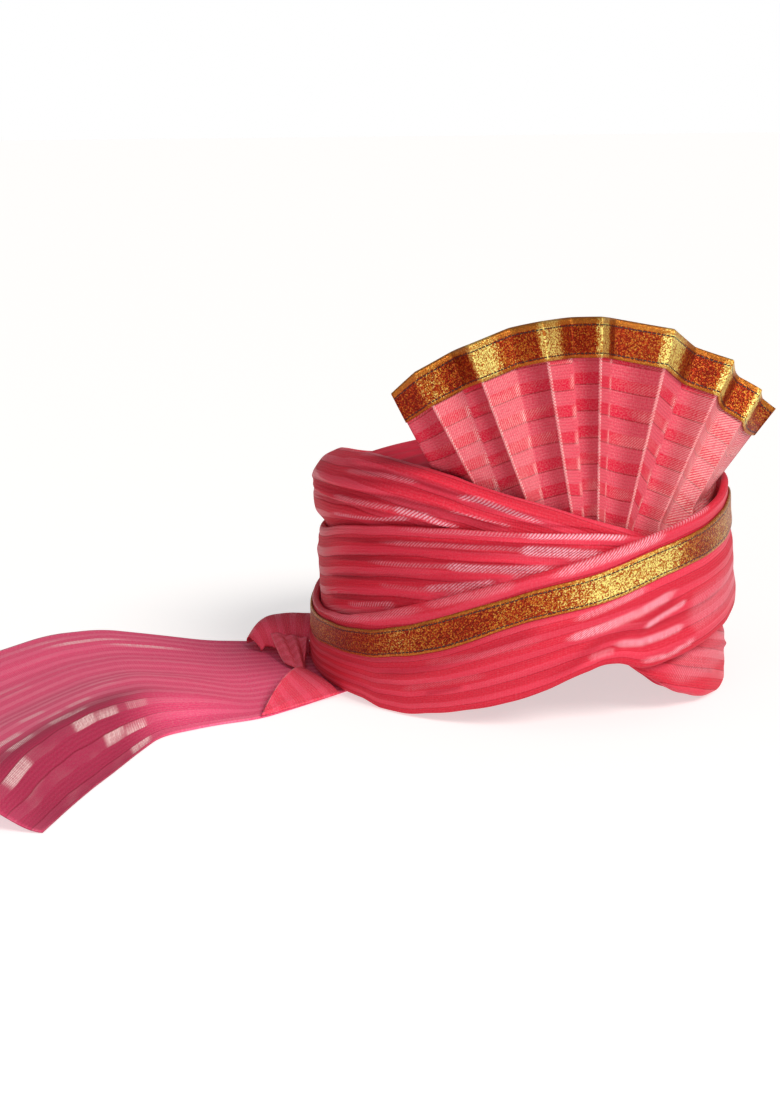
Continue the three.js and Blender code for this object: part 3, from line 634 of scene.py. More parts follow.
    # Painted shade toward the dark tone, then painted highlights toward the pale tone
    deep = add(MIX, {0: dark, 6: specked.outputs[2], 7: tones[2]}, data_type="RGBA")
    shining = add(MIX, {0: glint_share, 6: deep.outputs[2], 7: tones[3]}, data_type="RGBA")
    rough = add(MATH, {0: satin, 1: -0.22, 2: 0.62}, operation="MULTIPLY_ADD")
    # Relief: ribs, threads and long wrinkles
    ribs = add(MATH, {0: rib, 1: 0.07, 2: wrinkle}, operation="MULTIPLY_ADD")
    relief = add(MATH, {0: thread, 1: 0.05, 2: ribs}, operation="MULTIPLY_ADD")
    bump = add("ShaderNodeBump", {"Height": relief, "Strength": 0.4, "Distance": 0.0015})
    surface = {"Base Color": shining.outputs[2], "Roughness": rough, "Normal": bump}
    sheen = {"Sheen Weight": cloth["sheen"], "Sheen Roughness": 0.3, "Sheen Tint": tones[3]}
    shader = add(PRINCIPLED, {**surface, **sheen, "Specular IOR Level": 0.1})
    add(SURFACE, {"Surface": shader})
    return m


def woven_gold_lace(name, width):
    """Flat metallic lace: gilt strip woven over dark thread, so it glitters in dots, with a bright
    selvage and a line of dark stitching along each edge."""
    m = new_material(name)
    add = partial(add_node, m)
    uv = add("ShaderNodeUVMap", uv_map="cloth")
    place = add("ShaderNodeSeparateXYZ", {0: uv})
    along, across = place.outputs[0], place.outputs[1]
    # Gilt dots of the weave, 0.55 mm across
    dots = add(MAPPING, {0: uv, "Scale": (1800, 1800, 1)})
    cell = add("ShaderNodeTexVoronoi", {"Vector": dots, "Scale": 1.0, "Randomness": 0.9})
    chance = add("ShaderNodeSeparateColor", {0: cell.outputs["Color"]})
    # Broad zones where the gilt lies bright or dull, about 45 mm long
    zones = add(MAPPING, {0: uv, "Scale": (22, 6, 1)})
    zone = add(NOISE, {"Vector": zones, "Scale": 1.0, "Detail": 1.0})
    # Painted reflection: the glint mark makes the gilt brighter where it faces the light
    marked = add("ShaderNodeAttribute", attribute_name="glint")
    uneven = add(MATH, {0: zone, 1: 0.5, 2: -0.4}, operation="MULTIPLY_ADD")
    bright = add(MATH, {0: marked.outputs["Fac"], 1: 0.55, 2: uneven}, operation="MULTIPLY_ADD")
    shine = add(MATH, {0: chance.outputs[0], 1: 0.7, 2: bright}, operation="MULTIPLY_ADD")
    gold_tones = [(0.05, "#741A0A"), (0.35, "#AC3614"), (0.6, "#C8862E"), (0.85, "#FAF08C")]
    gold = add(RAMP, {0: shine}, stops=gold_tones)
    from_middle = add(MATH, {0: across, 1: width * MM / 2}, operation="SUBTRACT")
    beside = add(MATH, {0: from_middle}, operation="ABSOLUTE")
    # Stitches 2.2 mm apart, in a line 2 mm in from each edge
    stitch_line = add(MATH, {0: beside, 1: (width / 2 - 2.0) * MM, 2: 0.0003}, operation="COMPARE")
    dash_place = add(MATH, {0: along, 1: 1000 / 2.2}, operation="MULTIPLY")
    dash_part = add(MATH, {0: dash_place}, operation="FRACT")
    dash = add(MATH, {0: dash_part, 1: 0.8}, operation="LESS_THAN")
    stitched = add(MATH, {0: stitch_line, 1: dash}, operation="MULTIPLY")
    selvage = add(MATH, {0: beside, 1: (width / 2 - 1.3) * MM}, operation="GREATER_THAN")
    selvage_share = add(MATH, {0: selvage, 1: 0.55}, operation="MULTIPLY")
    edged = add(MIX, {0: selvage_share, 6: gold, 7: linear("#C4822E")}, data_type="RGBA")
    coloured = add(MIX, {0: stitched, 6: edged.outputs[2], 7: linear("#2A0C06")}, data_type="RGBA")
    metal = add(MATH, {0: stitched, 1: -0.85, 2: 0.85}, operation="MULTIPLY_ADD")
    rough = add(MATH, {0: chance.outputs[1], 1: 0.25, 2: 0.28}, operation="MULTIPLY_ADD")
    strand = {0: cell.outputs["Distance"], 1: -0.9}
    strands = add(MATH, {**strand, 2: chance.outputs[2]}, operation="MULTIPLY_ADD")
    relief = add(MATH, {0: stitched, 1: -1.2, 2: strands}, operation="MULTIPLY_ADD")
    bump = add("ShaderNodeBump", {"Height": relief, "Strength": 0.6, "Distance": 0.0004})
    surface = {"Base Color": coloured.outputs[2], "Metallic": metal, "Roughness": rough, "Normal": bump}
    shader = add(PRINCIPLED, surface)
    add(SURFACE, {"Surface": shader})
    return m


def plain_mulmul(name, colour, deep):
    """Plain thin cotton of the crown and padding: matte, a little uneven in its dye."""
    m = new_material(name)
    add = partial(add_node, m)
    where = add("ShaderNodeTexCoord")
    blot = add(NOISE, {"Vector": where.outputs["Object"], "Scale": 60.0, "Detail": 4.0})
    tone = add(RAMP, {0: blot}, stops=[(0.3, deep), (0.7, colour)])
    thread = add(NOISE, {"Vector": where.outputs["Object"], "Scale": 1400.0, "Detail": 1.0})
    bump = add("ShaderNodeBump", {"Height": thread, "Strength": 0.3, "Distance": 0.0004})
    matte = {"Roughness": 0.8, "Sheen Weight": 0.04, "Specular IOR Level": 0.2}
    shader = add(PRINCIPLED, {"Base Color": tone, "Normal": bump, **matte})
    add(SURFACE, {"Surface": shader})
    return m


# The georgettes: their tones, the period of their stripes in mm, and how strong each effect is. The
# shade tone darkens the lines, the ribs and the painted shade, and the glint tone lightens the specks and
# the painted highlights.
GEORGETTES = {
    "turban": {
        "matte": "#E22E44", "satin": "#EA3E56", "shade": "#8E081C", "glint": "#F4BCCB", "speck": 0.08,
        "period": 10.0, "bend": 0.25, "line": 0.35, "glints": 0.05, "sheen": 0.05, "on_satin": 0.0,
    },
    "fan": {
        "matte": "#DA4E62", "satin": "#D0163A", "shade": "#8A0A1C", "glint": "#F6CEC8", "speck": 0.16,
        "period": 12.4, "bend": 0.06, "line": 0.8, "glints": 0.2, "sheen": 0.04, "on_satin": 0.0,
    },
    "tail": {
        "matte": "#F24E7E", "satin": "#F65C88", "shade": "#7A0A2A", "glint": "#FFE8E4", "speck": 0.14,
        "period": 10.5, "bend": 0.3, "line": 0.16, "glints": 0.1, "sheen": 0.05, "on_satin": 1.0,
    },
    "fold": {
        "matte": "#EA3E5C", "satin": "#EE4868", "shade": "#84081E", "glint": "#F8C4C8", "speck": 0.2,
        "period": 10.5, "bend": 0.3, "line": 0.12, "glints": 0.05, "sheen": 0.05, "on_satin": 0.0,
    },
}
turban_cloth, fan_cloth, tail_cloth, fold_cloth = (
    striped_georgette(f"striped_georgette_{name}", cloth) for name, cloth in GEORGETTES.items()
)
crown_material = plain_mulmul("plain_mulmul_crown", "#D82844", "#B81A34")
padding_material = plain_mulmul("plain_mulmul_padding", "#C9304F", "#9C2140")
band_lace = woven_gold_lace("woven_gilt_lace_band", BAND_WIDTH)
fan_lace_material = woven_gold_lace("woven_gilt_lace_fan", LACE_WIDTH)


def finish_piece(piece, material, node, slot, flat=None, rests_on=None):
    piece.data.materials.append(material)
    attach(piece, "root")
    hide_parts(node)
    if flat is not None:
        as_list(rests_on)


# The turns


def soft_pleats(across, period, first, seed):
    """Soft pleats across a turn, which wander and come and go along it, from -0.4 to 0.6."""
    wander = ripple_noise(seed, STATIONS, 7)[:, None]
    swell = 0.6 + 0.4 * ripple_noise(seed + 1, STATIONS, 9)[:, None]
    return (0.5 + 0.5 * np.cos(2 * math.pi * ((across - first) / period + 0.35 * wander))) * swell - 0.4


def lengths_along(section):
    step = np.linalg.norm(np.diff(section, axis=1), axis=2)
    return np.concatenate([np.zeros((len(section), 1)), np.cumsum(step, axis=1)], axis=1)


def dress_turn(node, section, across, pleats, shown, creases, glints, flat, rests_on):
    """Dresses a turn in georgette. pleats is the depth, the period, the first place and the seed of its
    soft pleats, and shown is how much of its creases and of its glints shows at each point."""
    height = section[..., 1]
    folds, shade = creased(creases, height, pleats[0] * soft_pleats(across, *pleats[1:]))
    fold_share, glint_share = shown
    glint = glinting(glints, height) * glint_share
    name = f"{node}_cloth"
    piece = wound_piece(name, section, across, folds * fold_share, glint=glint, shade=shade)
    finish_piece(piece, turban_cloth, node, "turban_cloth", flat, rests_on)


# Outer turn
inner, outer = LANE["outer"]
low, high, lace, lace_top = (AT[key] for key in ("low", "high", "lace", "lace_top"))
section = spline_section([
    (inner, low + 1.2, 2),
    (inner, mix(low, high, 0.5), 2),
    (inner, high - 1.6, 2),
    (inner + 0.9, high - 0.2, 3),
    (outer - 0.9, high - 0.1, 3),
    (outer + 0.3, high - 1.6, 6),
    (outer + 0.1, lace_top + 1.2, 6),
    (outer, lace_top - 1, 4),
    (outer, lace + 0.6, 10),
    (outer + 0.9, mix(lace, low, 0.12), 12),
    (outer + 1.4, mix(lace, low, 0.3), 16),
    (outer + 1.2, mix(lace, low, 0.55), 16),
    (outer + 1.3, mix(lace, low, 0.8), 8),
    (outer + 0.6, low + 1, 4),
    (outer - 1.2, low, 2),
    (inner + 0.8, low + 0.1, 2),
])
below_lace = (lace - low)[:, None]
share = (lace[:, None] - section[..., 1]) / below_lace
across = share * np.where(share > 0, 50, below_lace)
on_face = smooth_step(outer - 0.5, outer, section[..., 0]) * smooth_step(0.02, 0.15, share)
cloth = {"flat": (0.68, 0.075), "rests_on": ["middle_turn", "base_turn"]}
looks = {"pleats": (0.5, 12, 5, 11), "creases": OUTER_CREASES, "glints": OUTER_GLINTS}
dress_turn("outer_turn", section, across, shown=(on_face, 1), **looks, **cloth)

# Middle turn
inner, outer = LANE["mid"]
mid_low = np.maximum(low + 12, 14)
top = AT["mid"]
seam = np.minimum(high + 2, top - 6)
section = spline_section([
    (inner, mid_low + 1, 2),
    (inner, mix(mid_low, top, 0.5), 2),
    (inner, top - 1.4, 2),
    (inner + 0.9, top - 0.1, 3),
    (outer - 0.9, top, 4),
    (outer + 0.3, top - 1.6, 18),
    (outer + 0.6, mix(top, seam, 0.33), 18),
    (outer + 0.6, mix(top, seam, 0.66), 18),
    (outer, seam, 6),
    (outer - 0.2, mix(seam, mid_low, 0.5), 4),
    (outer - 0.6, mid_low, 2),
    (inner + 0.8, mid_low, 2),
])
across = top[:, None] - section[..., 1]
on_face = smooth_step(outer - 0.6, outer, section[..., 0]) * smooth_step(0, 16, top - high)[:, None]
cloth = {"flat": (0.66, 0.07), "rests_on": ["top_turn", "base_turn"]}
looks = {"pleats": (0.4, 10, 2, 21), "creases": MIDDLE_CREASES, "glints": MIDDLE_GLINTS}
dress_turn("middle_turn", section, across, shown=(on_face, 1), **looks, **cloth)

# Top turn, which swells over the rim and curls in to the crown
inner, outer = LANE["top"]
rim, bulge, rim_in = AT["rim"], AT["bulge"], AT["rim_in"]
start = np.minimum(top + 0.4, rim - 6)
rise = rim - start
curl = mix(bulge, rim_in, 0.3)
front_controls = [
    (outer, STACK_HEIGHT + 1, 6),
    (outer, start - 1, 10),
    (np.maximum(outer, bulge - 1.4), start + 0.2 * rise, 10),
    (np.maximum(outer, bulge), start + 0.38 * rise, 10),
    (bulge - 0.3, start + 0.55 * rise, 10),
    (bulge - 0.8, start + 0.7 * rise, 10),
    (curl, start + 0.88 * rise, 12),
    (rim_in + 2.8, rim, 5),
]
back_controls = [
    (rim_in + 0.4, rim - 0.6, 3),
    (rim_in + 0.2, rim - 2.2, 3),
    (np.maximum(rim_in + 0.6, curl - 3.6), start + 0.84 * rise - 2.4, 3),
    (np.maximum(inner, bulge - 4), start + 0.5 * rise, 3),
    (np.maximum(inner, bulge - 5), start + 0.2 * rise, 3),
    (inner, start - 2, 3),
    (inner, STACK_HEIGHT + 1, 2),
    ((inner + outer) / 2, STACK_HEIGHT + 0.4, 2),
]
section = spline_section(front_controls + back_controls)
along_section = lengths_along(section)
rim_place = sum(steps for _, _, steps in front_controls)
across = along_section[:, rim_place : rim_place + 1] - along_section
step = np.arange(section.shape[1])[None, :]
on_face = (step < rim_place - 4) * smooth_step(0.5, 6, across) * smooth_step(2, 12, rise)[:, None]
cloth = {"flat": (0.64, 0.06), "rests_on": ["middle_turn", "wound_core"]}
looks = {"pleats": (0.4, 10, 3, 31), "creases": TOP_CREASES, "glints": TOP_GLINTS}
dress_turn("top_turn", section, across, shown=(on_face, step < rim_place), **looks, **cloth)

# Base turn
inner, outer = LANE["base"]
hem = AT["hem"]
base_shown = np.clip((low - hem - 3) / 14, 0, 1)
seam = np.maximum(low - 1.2, hem + 3)
section = spline_section([
    (inner, hem + 1, 2),
    (inner, mix(hem, STACK_HEIGHT, 0.5), 2),
    (inner, STACK_HEIGHT - 0.8, 2),
    (inner + 0.8, STACK_HEIGHT - 0.2, 2),
    (outer - 0.6, STACK_HEIGHT - 0.2, 2),
    (outer, STACK_HEIGHT - 1.4, 4),
    (outer, seam + 2, 14),
    (outer + 2.6 * base_shown, mix(seam, hem, 0.25), 14),
    (outer + 2.6 * base_shown, mix(seam, hem, 0.55), 14),
    (outer + 2.4 * base_shown, mix(seam, hem, 0.8), 10),
    (outer + 1.4 * base_shown, hem + 1, 5),
    (outer - 0.8, hem, 2),
    (inner + 0.6, hem + 0.1, 2),
])
across = section[..., 1] + 0.5 * ANGLES[:, None]
on_face = smooth_step(outer - 0.4, outer, section[..., 0]) * base_shown[:, None]
cloth = {"flat": (0.64, 0.055), "rests_on": ["wound_core"]}
looks = {"pleats": (0.3, 9, 2, 41), "creases": BASE_CREASES, "glints": BASE_GLINTS}
dress_turn("base_turn", section, across, shown=(on_face, 1), **looks, **cloth)

# Padded core of wound cloth, lower at the front, where the fan is tucked in
CORE_TOPS = (82, 68)
inner, outer = LANE["core"]
middle = (inner + outer) / 2
at_front = smooth_step(-72, -66, ANGLES) * (1 - smooth_step(66, 72, ANGLES))
core_top, core_foot = mix(*CORE_TOPS, at_front), hem + 0.8
section = spline_section([
    (inner, core_foot + 2, 8),
    (inner, core_top - 2.5, 3),
    (middle, core_top, 3),
    (outer, core_top - 2.5, 8),
    (outer, core_foot + 2, 3),
    (middle, core_foot, 3),
])
core = wound_piece("padded_core", section, section[..., 1])
finish_piece(core, padding_material, "wound_core", "turban_cloth")

# Gold lace band
inner, outer = LANE["lace"]
middle = (inner + outer) / 2
section = spline_section([
    (inner, lace + 0.5, 6),
    (inner, lace_top - 0.2, 2),
    (middle, lace_top + 0.1, 2),
    (outer, lace_top - 0.3, 12),
    (outer, mix(lace, lace_top, 0.5), 12),
    (outer, lace + 0.6, 2),
    (middle, lace + 0.2, 2),
])
across = (section[..., 1] - lace[:, None]) / (lace_top - lace)[:, None] * BAND_WIDTH
# Painted reflection: the band's gilt is painted brighter where it turns toward the light
gilt_reflection = np.interp(ANGLES, *np.array(BAND_GILT_REFLECTION).T)[:, None]
lace_band = wound_piece("lace_band_gold", section, across, glint=gilt_reflection)
finish_piece(lace_band, band_lace, "lace_band", "gold_lace", (0.68, 0.015), ["outer_turn"])


# The fan


def fan_lines():
    """Ends of every fold line of the fan, with the outward way there, in mm beside the head."""
    lane = smooth_curve(FAN_LANE)
    lines = []
    for foot, foot_height, lean, reach, out in FAN_ROWS:
        turn, leaning = math.radians(foot), math.radians(lean)
        turned = FAN_TURN * reach * math.sin(leaning)
        top_x = math.sin(turned) / FAN_TURN
        top_y = -FAN_FRONT + (1 - math.cos(turned)) / FAN_TURN
        tuck_height = max(foot_height - FAN_TUCK, FAN_FLOOR)
        gap = float(lane(foot))
        line = {
            "tuck": np.array([*head_reach(foot * 0.95, gap, tuck_height), tuck_height]),
            "foot": np.array([*head_reach(foot, gap, foot_height), foot_height]),
            "top": np.array([top_x, top_y, FAN_CENTRE_HEIGHT + reach * math.cos(leaning)]),
            "foot_out": np.array([math.sin(turn), -math.cos(turn), 0]),
            "top_out": np.array([math.sin(turned), -math.cos(turned), 0]),
            "pleat": out,
            "lean": lean,
        }
        lines.append(line)
    return lines


def fan_columns():
    """Every line of the fan's grid: pressed pleats, sharp on the ridge and rounded in the valley. Each
    also has its share of the way from the ridge and the side of the ridge that it lies on."""
    lines = fan_lines()
    columns = []
    for panel, (a, b) in enumerate(zip(lines[:-1], lines[1:])):
        falling = a["pleat"] > b["pleat"]
        for step in range(FAN_STEPS):
            even = step / FAN_STEPS
            t = even**1.5 if falling else 1 - (1 - even) ** 1.5
            away = t if falling else 1 - t
            column = {key: mix(a[key], b[key], t) for key in a}
            ridge, valley = max(a["pleat"], b["pleat"]), min(a["pleat"], b["pleat"])
            column["pleat"] = valley + (ridge - valley) * (1 - away) ** 1.2
            column["pleat"] *= mix(1, 0.45, float(smooth_step(26, 37, column["lean"])))
            column["away"] = away if ridge > 0.5 else 0.5
            column["lit_side"] = 1.0 if falling and ridge > 0.5 else 0.0
            column["panel"] = float(panel)
            columns.append(column)
    columns.append({**lines[-1], "away": 0.5, "lit_side": 0.0, "panel": float(len(lines) - 2)})
    return columns


FAN_GRID = fan_columns()
fan_values = {key: np.array([column[key] for column in FAN_GRID]) for key in FAN_GRID[0]}


def fan_surface(shares, offset):
    """Points of the fan's cloth, mm beside the head, for shares of the way from foot to top (below 0
    is the tucked part), moved out by offset."""
    v = fan_values
    pleat = v["pleat"][:, None]
    foot = v["foot"] + v["foot_out"] * (FAN_PLEAT_FOOT * pleat + offset)
    top = v["top"] + v["top_out"] * (FAN_PLEAT_TOP * pleat + offset)
    tuck = v["tuck"] + v["foot_out"] * (FAN_PLEAT_FOOT * 0.5 * pleat + offset)
    rows = [mix(foot, top, s) if s >= 0 else mix(foot, tuck, -s) for s in shares]
    return np.stack(rows, axis=1)


fan_shares = np.concatenate([[-1, -0.66, -0.33], np.linspace(0, 1, 46)])
fan_lengths = np.linalg.norm(fan_values["top"] - fan_values["foot"], axis=1)
points = fan_surface(fan_shares, 0)
fan_widths = lengths_along(points[:, -1][None])[0]
down = (1 - np.clip(fan_shares, 0, 1))[None, :] * fan_lengths[:, None]
down = down + np.clip(-fan_shares, 0, 1)[None, :] * FAN_TUCK
# The stripes of neighbouring panels don't quite meet
down = down + 1.3 * np.sin(2.3 * fan_values["panel"])[:, None]
# Painted highlights: the pressed ridge of each fold is painted pale, and so are the panels that face the
# light at either side; pale loose floats of the satin are painted beside the valleys on the lit side
away, lit_side, leaning = (fan_values[key] for key in ("away", "lit_side", "lean"))
ridge_highlight = 0.6 * (1 - smooth_step(0.01, 0.045, away))
left_side, right_side = 1 - smooth_step(-20, -8, leaning), smooth_step(18, 30, leaning)
sides = 0.2 * lit_side * left_side + 0.45 * right_side
# Painted shade on the panels that turn away from the light, strongest near the ridge and gone at the
# wearer's left end
painted_panel_shade = 0.5 * (1 - lit_side) * (1 - smooth_step(0.3, 0.9, away))
painted_panel_shade = np.clip(painted_panel_shade * (1 - 2 * smooth_step(20, 40, leaning)), 0, 1)
phase = down / GEORGETTES["fan"]["period"] - 0.24
satin_here = smooth_step(0.5, 0.6, 0.5 + 0.5 * np.cos(2 * math.pi * phase))
lit_float_highlight = 0.6 * lit_side * smooth_step(0.7, 0.86, away) * (away < 0.995)
on_ridge = ridge_highlight > 0.3
points = points + fan_values["top_out"][:, None, :] * 0.3 * on_ridge[:, None, None]
glint = np.maximum(np.maximum(ridge_highlight, sides)[:, None], lit_float_highlight[:, None] * satin_here)
marks = {"glint": glint, "shade": (painted_panel_shade * ~on_ridge)[:, None]}
flat = cloth_places(fan_widths[:, None], down)
fan = grid_mesh("fan_pleats", on_floor(*np.moveaxis(points, -1, 0)), flat, **marks)
give_wall(fan, FAN_WALL)
finish_piece(fan, fan_cloth, "fan", "fan_cloth", (0.235, 0.085), ["top_turn", "outer_turn"])

# Gold lace folded over the fan's upper edge
LACE_CLEAR = 1.6
LACE_WALL = 0.8
front = np.linspace(0, 1, 14)
lace_ways = [1 - LACE_WIDTH * (1 - place) / fan_lengths for place in front]
bends = np.linspace(0, math.pi, 9)[1:-1]
lines = [(way, LACE_CLEAR) for way in lace_ways]
lines += [(1 + (0.3 + 0.8 * math.sin(b)) / fan_lengths, LACE_CLEAR * math.cos(b)) for b in bends]
lines += [(way, -LACE_CLEAR) for way in lace_ways[::-1]]
columns = []
for way, offset in lines:
    foot_line, top_line = np.moveaxis(fan_surface([0, 1], offset), 1, 0)
    columns.append(mix(foot_line, top_line, way[:, None]))
points = np.stack(columns, axis=1)
across = lengths_along(points)
across = np.where(np.arange(across.shape[1]) > len(front), across[:, -1:] - across, across)
# Painted reflection: the lace is painted brighter beside each ridge and over the panels that face the
# light, and duller at the wearer's right end
facing = 1 - smooth_step(0.05, 0.25, away)
facing = np.maximum(lit_side * (1 - smooth_step(0.35, 0.75, away)), facing)
facing = facing * (1 - 0.55 * smooth_step(-26, -30, leaning))
gilt_reflection = np.clip(0.05 + facing, 0, 1)[:, None]
flat = cloth_places(fan_widths[:, None], across)
fan_lace = grid_mesh("fan_lace_gold", on_floor(*np.moveaxis(points, -1, 0)), flat, glint=gilt_reflection)
give_wall(fan_lace, LACE_WALL)
finish_piece(fan_lace, fan_lace_material, "fan_lace", "gold_lace", (0.31, 0.036), ["fan"])

# The crown: gathered cloth over the head
GATHERS = 36
GATHER_HEIGHT = 1.2
CROWN_WALL = 2
CROWN_DEGREE = 1.6
shoulder = AT["shoulder"]
wander = 1.3 * ripple_noise(5, STATIONS, 6)
gather = GATHER_HEIGHT * 0.5 * np.cos(GATHERS * np.radians(ANGLES) + wander)
edge_x, edge_y = head_reach(ANGLES, 0, shoulder)
rings = []
for ring in np.linspace(0, 0.95, 41):
    height = mix(shoulder, CROWN_HEIGHT, 1 - ring**2.3) + gather * smooth_step(0.05, 0.5, ring)
    rings.append(on_floor(ring * edge_x, ring * edge_y, height))
sides = [(1.2, shoulder - 2.5), (1.4, shoulder - 6), (1.4, mix(hem, shoulder, 0.5)), (1.4, hem + 1.2)]
rings += [beside_head(ANGLES, out, height) for out, height in sides]
points = np.stack(rings, axis=1)
down = np.pad(lengths_along(points) / MM, ((0, 1), (0, 0)), mode="wrap")
flat = cloth_places(np.append(ANGLES, 180)[:, None] * CROWN_DEGREE, down)
crown = grid_mesh("crown_gathered", points, flat, around=True)
# The points of the middle ring are merged to close the pole
edit_all(crown, bpy.ops.mesh.remove_doubles, threshold=0.001 * MM)
give_wall(crown, CROWN_WALL)
faces_outward(crown)
finish_piece(crown, crown_material, "crown_cloth", "crown_cloth", (0.3, 0.31), ["wound_core"])


# The tail


def tail_lines(count):
    """The columns of the tail's rows at even places along it, with their corners a little rounded."""
    places = np.linspace(0, len(TAIL_ROWS) - 1, count)
    values = {}
    for name, column in zip(TAIL_COLUMNS, zip(*TAIL_ROWS)):
        sharp = np.interp(places, np.arange(len(TAIL_ROWS)), column)
        longer = np.pad(sharp, 7, mode="reflect", reflect_type="odd")
        values[name] = np.convolve(longer, np.ones(15) / 15, mode="valid")[:, None]
    return places, values


TAIL_LONG, TAIL_WIDE = 220, 130
places, line = tail_lines(TAIL_LONG)
share = np.linspace(0, 1, TAIL_WIDE)[None, :]
x, y = (mix(line["near_" + way], line["far_" + way], share) for way in "xy")
middle_x, middle_y = (mix(line["near_" + way], line["far_" + way], 0.5) for way in "xy")
crest, crest_at = line["crest"], line["crest_at"]
rising = smooth_step(0, 1, share / crest_at)
falling = np.exp(-(((share - crest_at) / TAIL_CREST_HALF) ** 2))
hump = crest * np.where(share < crest_at, rising, falling)
ripple = (0.5 - 0.5 * np.cos(2 * math.pi * 4 * share)) * np.clip(crest / 6, 0, 1)
hems = smooth_step(0, 0.02, share) * smooth_step(0, 0.03, 1 - share)
height = (hump + ripple) * hems + 0.9
run = lengths_along(np.stack([middle_x[:, 0], middle_y[:, 0]], axis=-1)[None])[0]
flat = cloth_places(run[:, None], share * TAIL_FLAT_WIDTH)
ROW_LENGTH, ROW_WIDTH = 30, 150
glint = np.zeros(x.shape)
for strength, half, course in TAIL_GLINTS:
    marks = [[row * ROW_LENGTH, place * ROW_WIDTH] for row, place in course]
    far, _, along = beside_course(places[:, None] * ROW_LENGTH, share * ROW_WIDTH, marks)
    near = 1 - smooth_step(0.5 * half, 1.2 * half, far)
    glint = np.maximum(glint, strength * near * fading_ends(along))
# Painted shade on the tail's front slope, below its crest
slope_side = 1 - smooth_step(crest_at, crest_at + 0.12, share)
shade = 0.7 * slope_side * smooth_step(6, 16, crest)
tail = grid_mesh("tail_sheet", on_floor(x, y, height), flat, glint=glint, shade=shade)
give_wall(tail, TAIL_WALL)
finish_piece(tail, tail_cloth, "tail", "tail_cloth", (0.17, 0.36), ["floor"])

# The rolled fold at the far edge of the tail: an arch whose near edge lifts a little before its end,
# and whose cloth runs on as a ruffle over the tail
ROLL_ROWS, ROLL_STEPS = 70, 44
rows = []
turn = np.linspace(0, 1.04 * math.pi, ROLL_STEPS)
near_share = smooth_step(0.6, 1.0, turn / turn[-1])
for along in 1 - np.linspace(1, 0, ROLL_ROWS) ** 1.4:
    hood_share = max(along - ROLL["hood"], 0) / (1.02 - ROLL["hood"])
    swell = math.sqrt(1 - hood_share**2)
    near_y_here = mix(*ROLL["near_y"], float(smooth_step(0.5, 1, along)))
    far_y_here = mix(*ROLL["far_y"], float(smooth_step(0.7, 1, along)))
    y = (far_y_here + near_y_here) / 2 + ((far_y_here - near_y_here) / 2 - 0.8) * np.cos(turn)
    gape = 3 * float(smooth_step(0.5, 0.8, along) * (1 - smooth_step(0.9, 1, along)))
    arch = (ROLL["height"] - ROLL["foot"] - 0.8) * swell * np.maximum(np.sin(turn), 0.03)
    crumple = 0.5 * swell * np.sin(3 * turn + 9 * along) * smooth_step(0, 0.4, turn)
    height = ROLL["foot"] + 0.5 + arch + gape * near_share + crumple
    cosine = np.clip(-y / (HEAD_HALF_LENGTH + ROLL["clear"]), -1, 1)
    start_x = -(HEAD_HALF_WIDTH + ROLL["clear"]) * np.sqrt(1 - cosine**2)
    end_x = ROLL["end_x"] + 3 * smooth_step(1.6, 3.1, turn)
    rows.append(on_floor(mix(start_x, end_x, along), y, height))
flat = cloth_places(np.linspace(0, 75, ROLL_STEPS)[None, :], np.linspace(0, 50, ROLL_ROWS)[:, None])
roll = grid_mesh("tail_rolled_fold", np.stack(rows), flat)
give_wall(roll, TAIL_WALL)
top_right, top_left = (np.array(corner, float) for corner in RUFFLE["top"])
foot_right, foot_left = (np.array(corner, float) for corner in RUFFLE["foot"])
rows = []
across = np.linspace(0, 1, 40)
t = np.linspace(0, 1, 40)
for s in across:
    top_place, foot_place = mix(top_right, top_left, s), mix(foot_right, foot_left, s)
    foot_place = foot_place - np.array([0, RUFFLE["bow"] * math.sin(math.pi * s)])
    wave = 1.8 + 1.5 * math.cos(2 * math.pi * 2.5 * s)
    height = 3 + wave * np.sin(math.pi * np.clip(t * 0.9 + 0.1, 0, 1)) + 9 * (1 - t) ** 1.5
    rows.append(on_floor(*mix(top_place[:, None], foot_place[:, None], t), height))
# Painted highlight: the ruffle a little paler all over, and paler still along its edge
edge_glint = 0.12 + 0.4 * smooth_step(0.94, 1.0, across)[:, None]
flat = cloth_places(across[:, None] * 30, t[None, :] * 50)
ruffle = grid_mesh("tail_ruffle", np.stack(rows), flat, glint=edge_glint)
give_wall(ruffle, TAIL_WALL)
bpy.ops.object.select_all(action="DESELECT")
ruffle.select_set(True)
roll.select_set(True)
bpy.context.view_layer.objects.active = roll
bpy.ops.object.join()
bpy.ops.object.select_all(action="DESELECT")
finish_piece(roll, fold_cloth, "tail_roll", "tail_cloth", (0.05, 0.07), ["tail"])

# The corner folded back over the tail
near, far, tip = (np.array(FLAP[key], float) for key in ("hem_near", "hem_far", "tip"))
rows = []
for s in np.linspace(0, 1, 50):
    place = mix(mix(near, tip, s)[:, None], mix(far, tip, s)[:, None], t) + (t - 0.5) * 0.4
    raised = 5 * math.sin(math.pi * s) ** 0.8 * t**2
    bowed = 0.9 * smooth_step(0, 0.25, t) + 1.2 * np.sin(math.pi * t) * (1 - s)
    rows.append(on_floor(*place, 2.1 + bowed + raised))
hem_way = (far - near) / np.linalg.norm(far - near)
spread = np.stack(rows)[..., :2] - np.array([HEAD_X, HEAD_Y])
flat = np.stack([spread @ hem_way, spread @ np.array([-hem_way[1], hem_way[0]])], axis=-1)
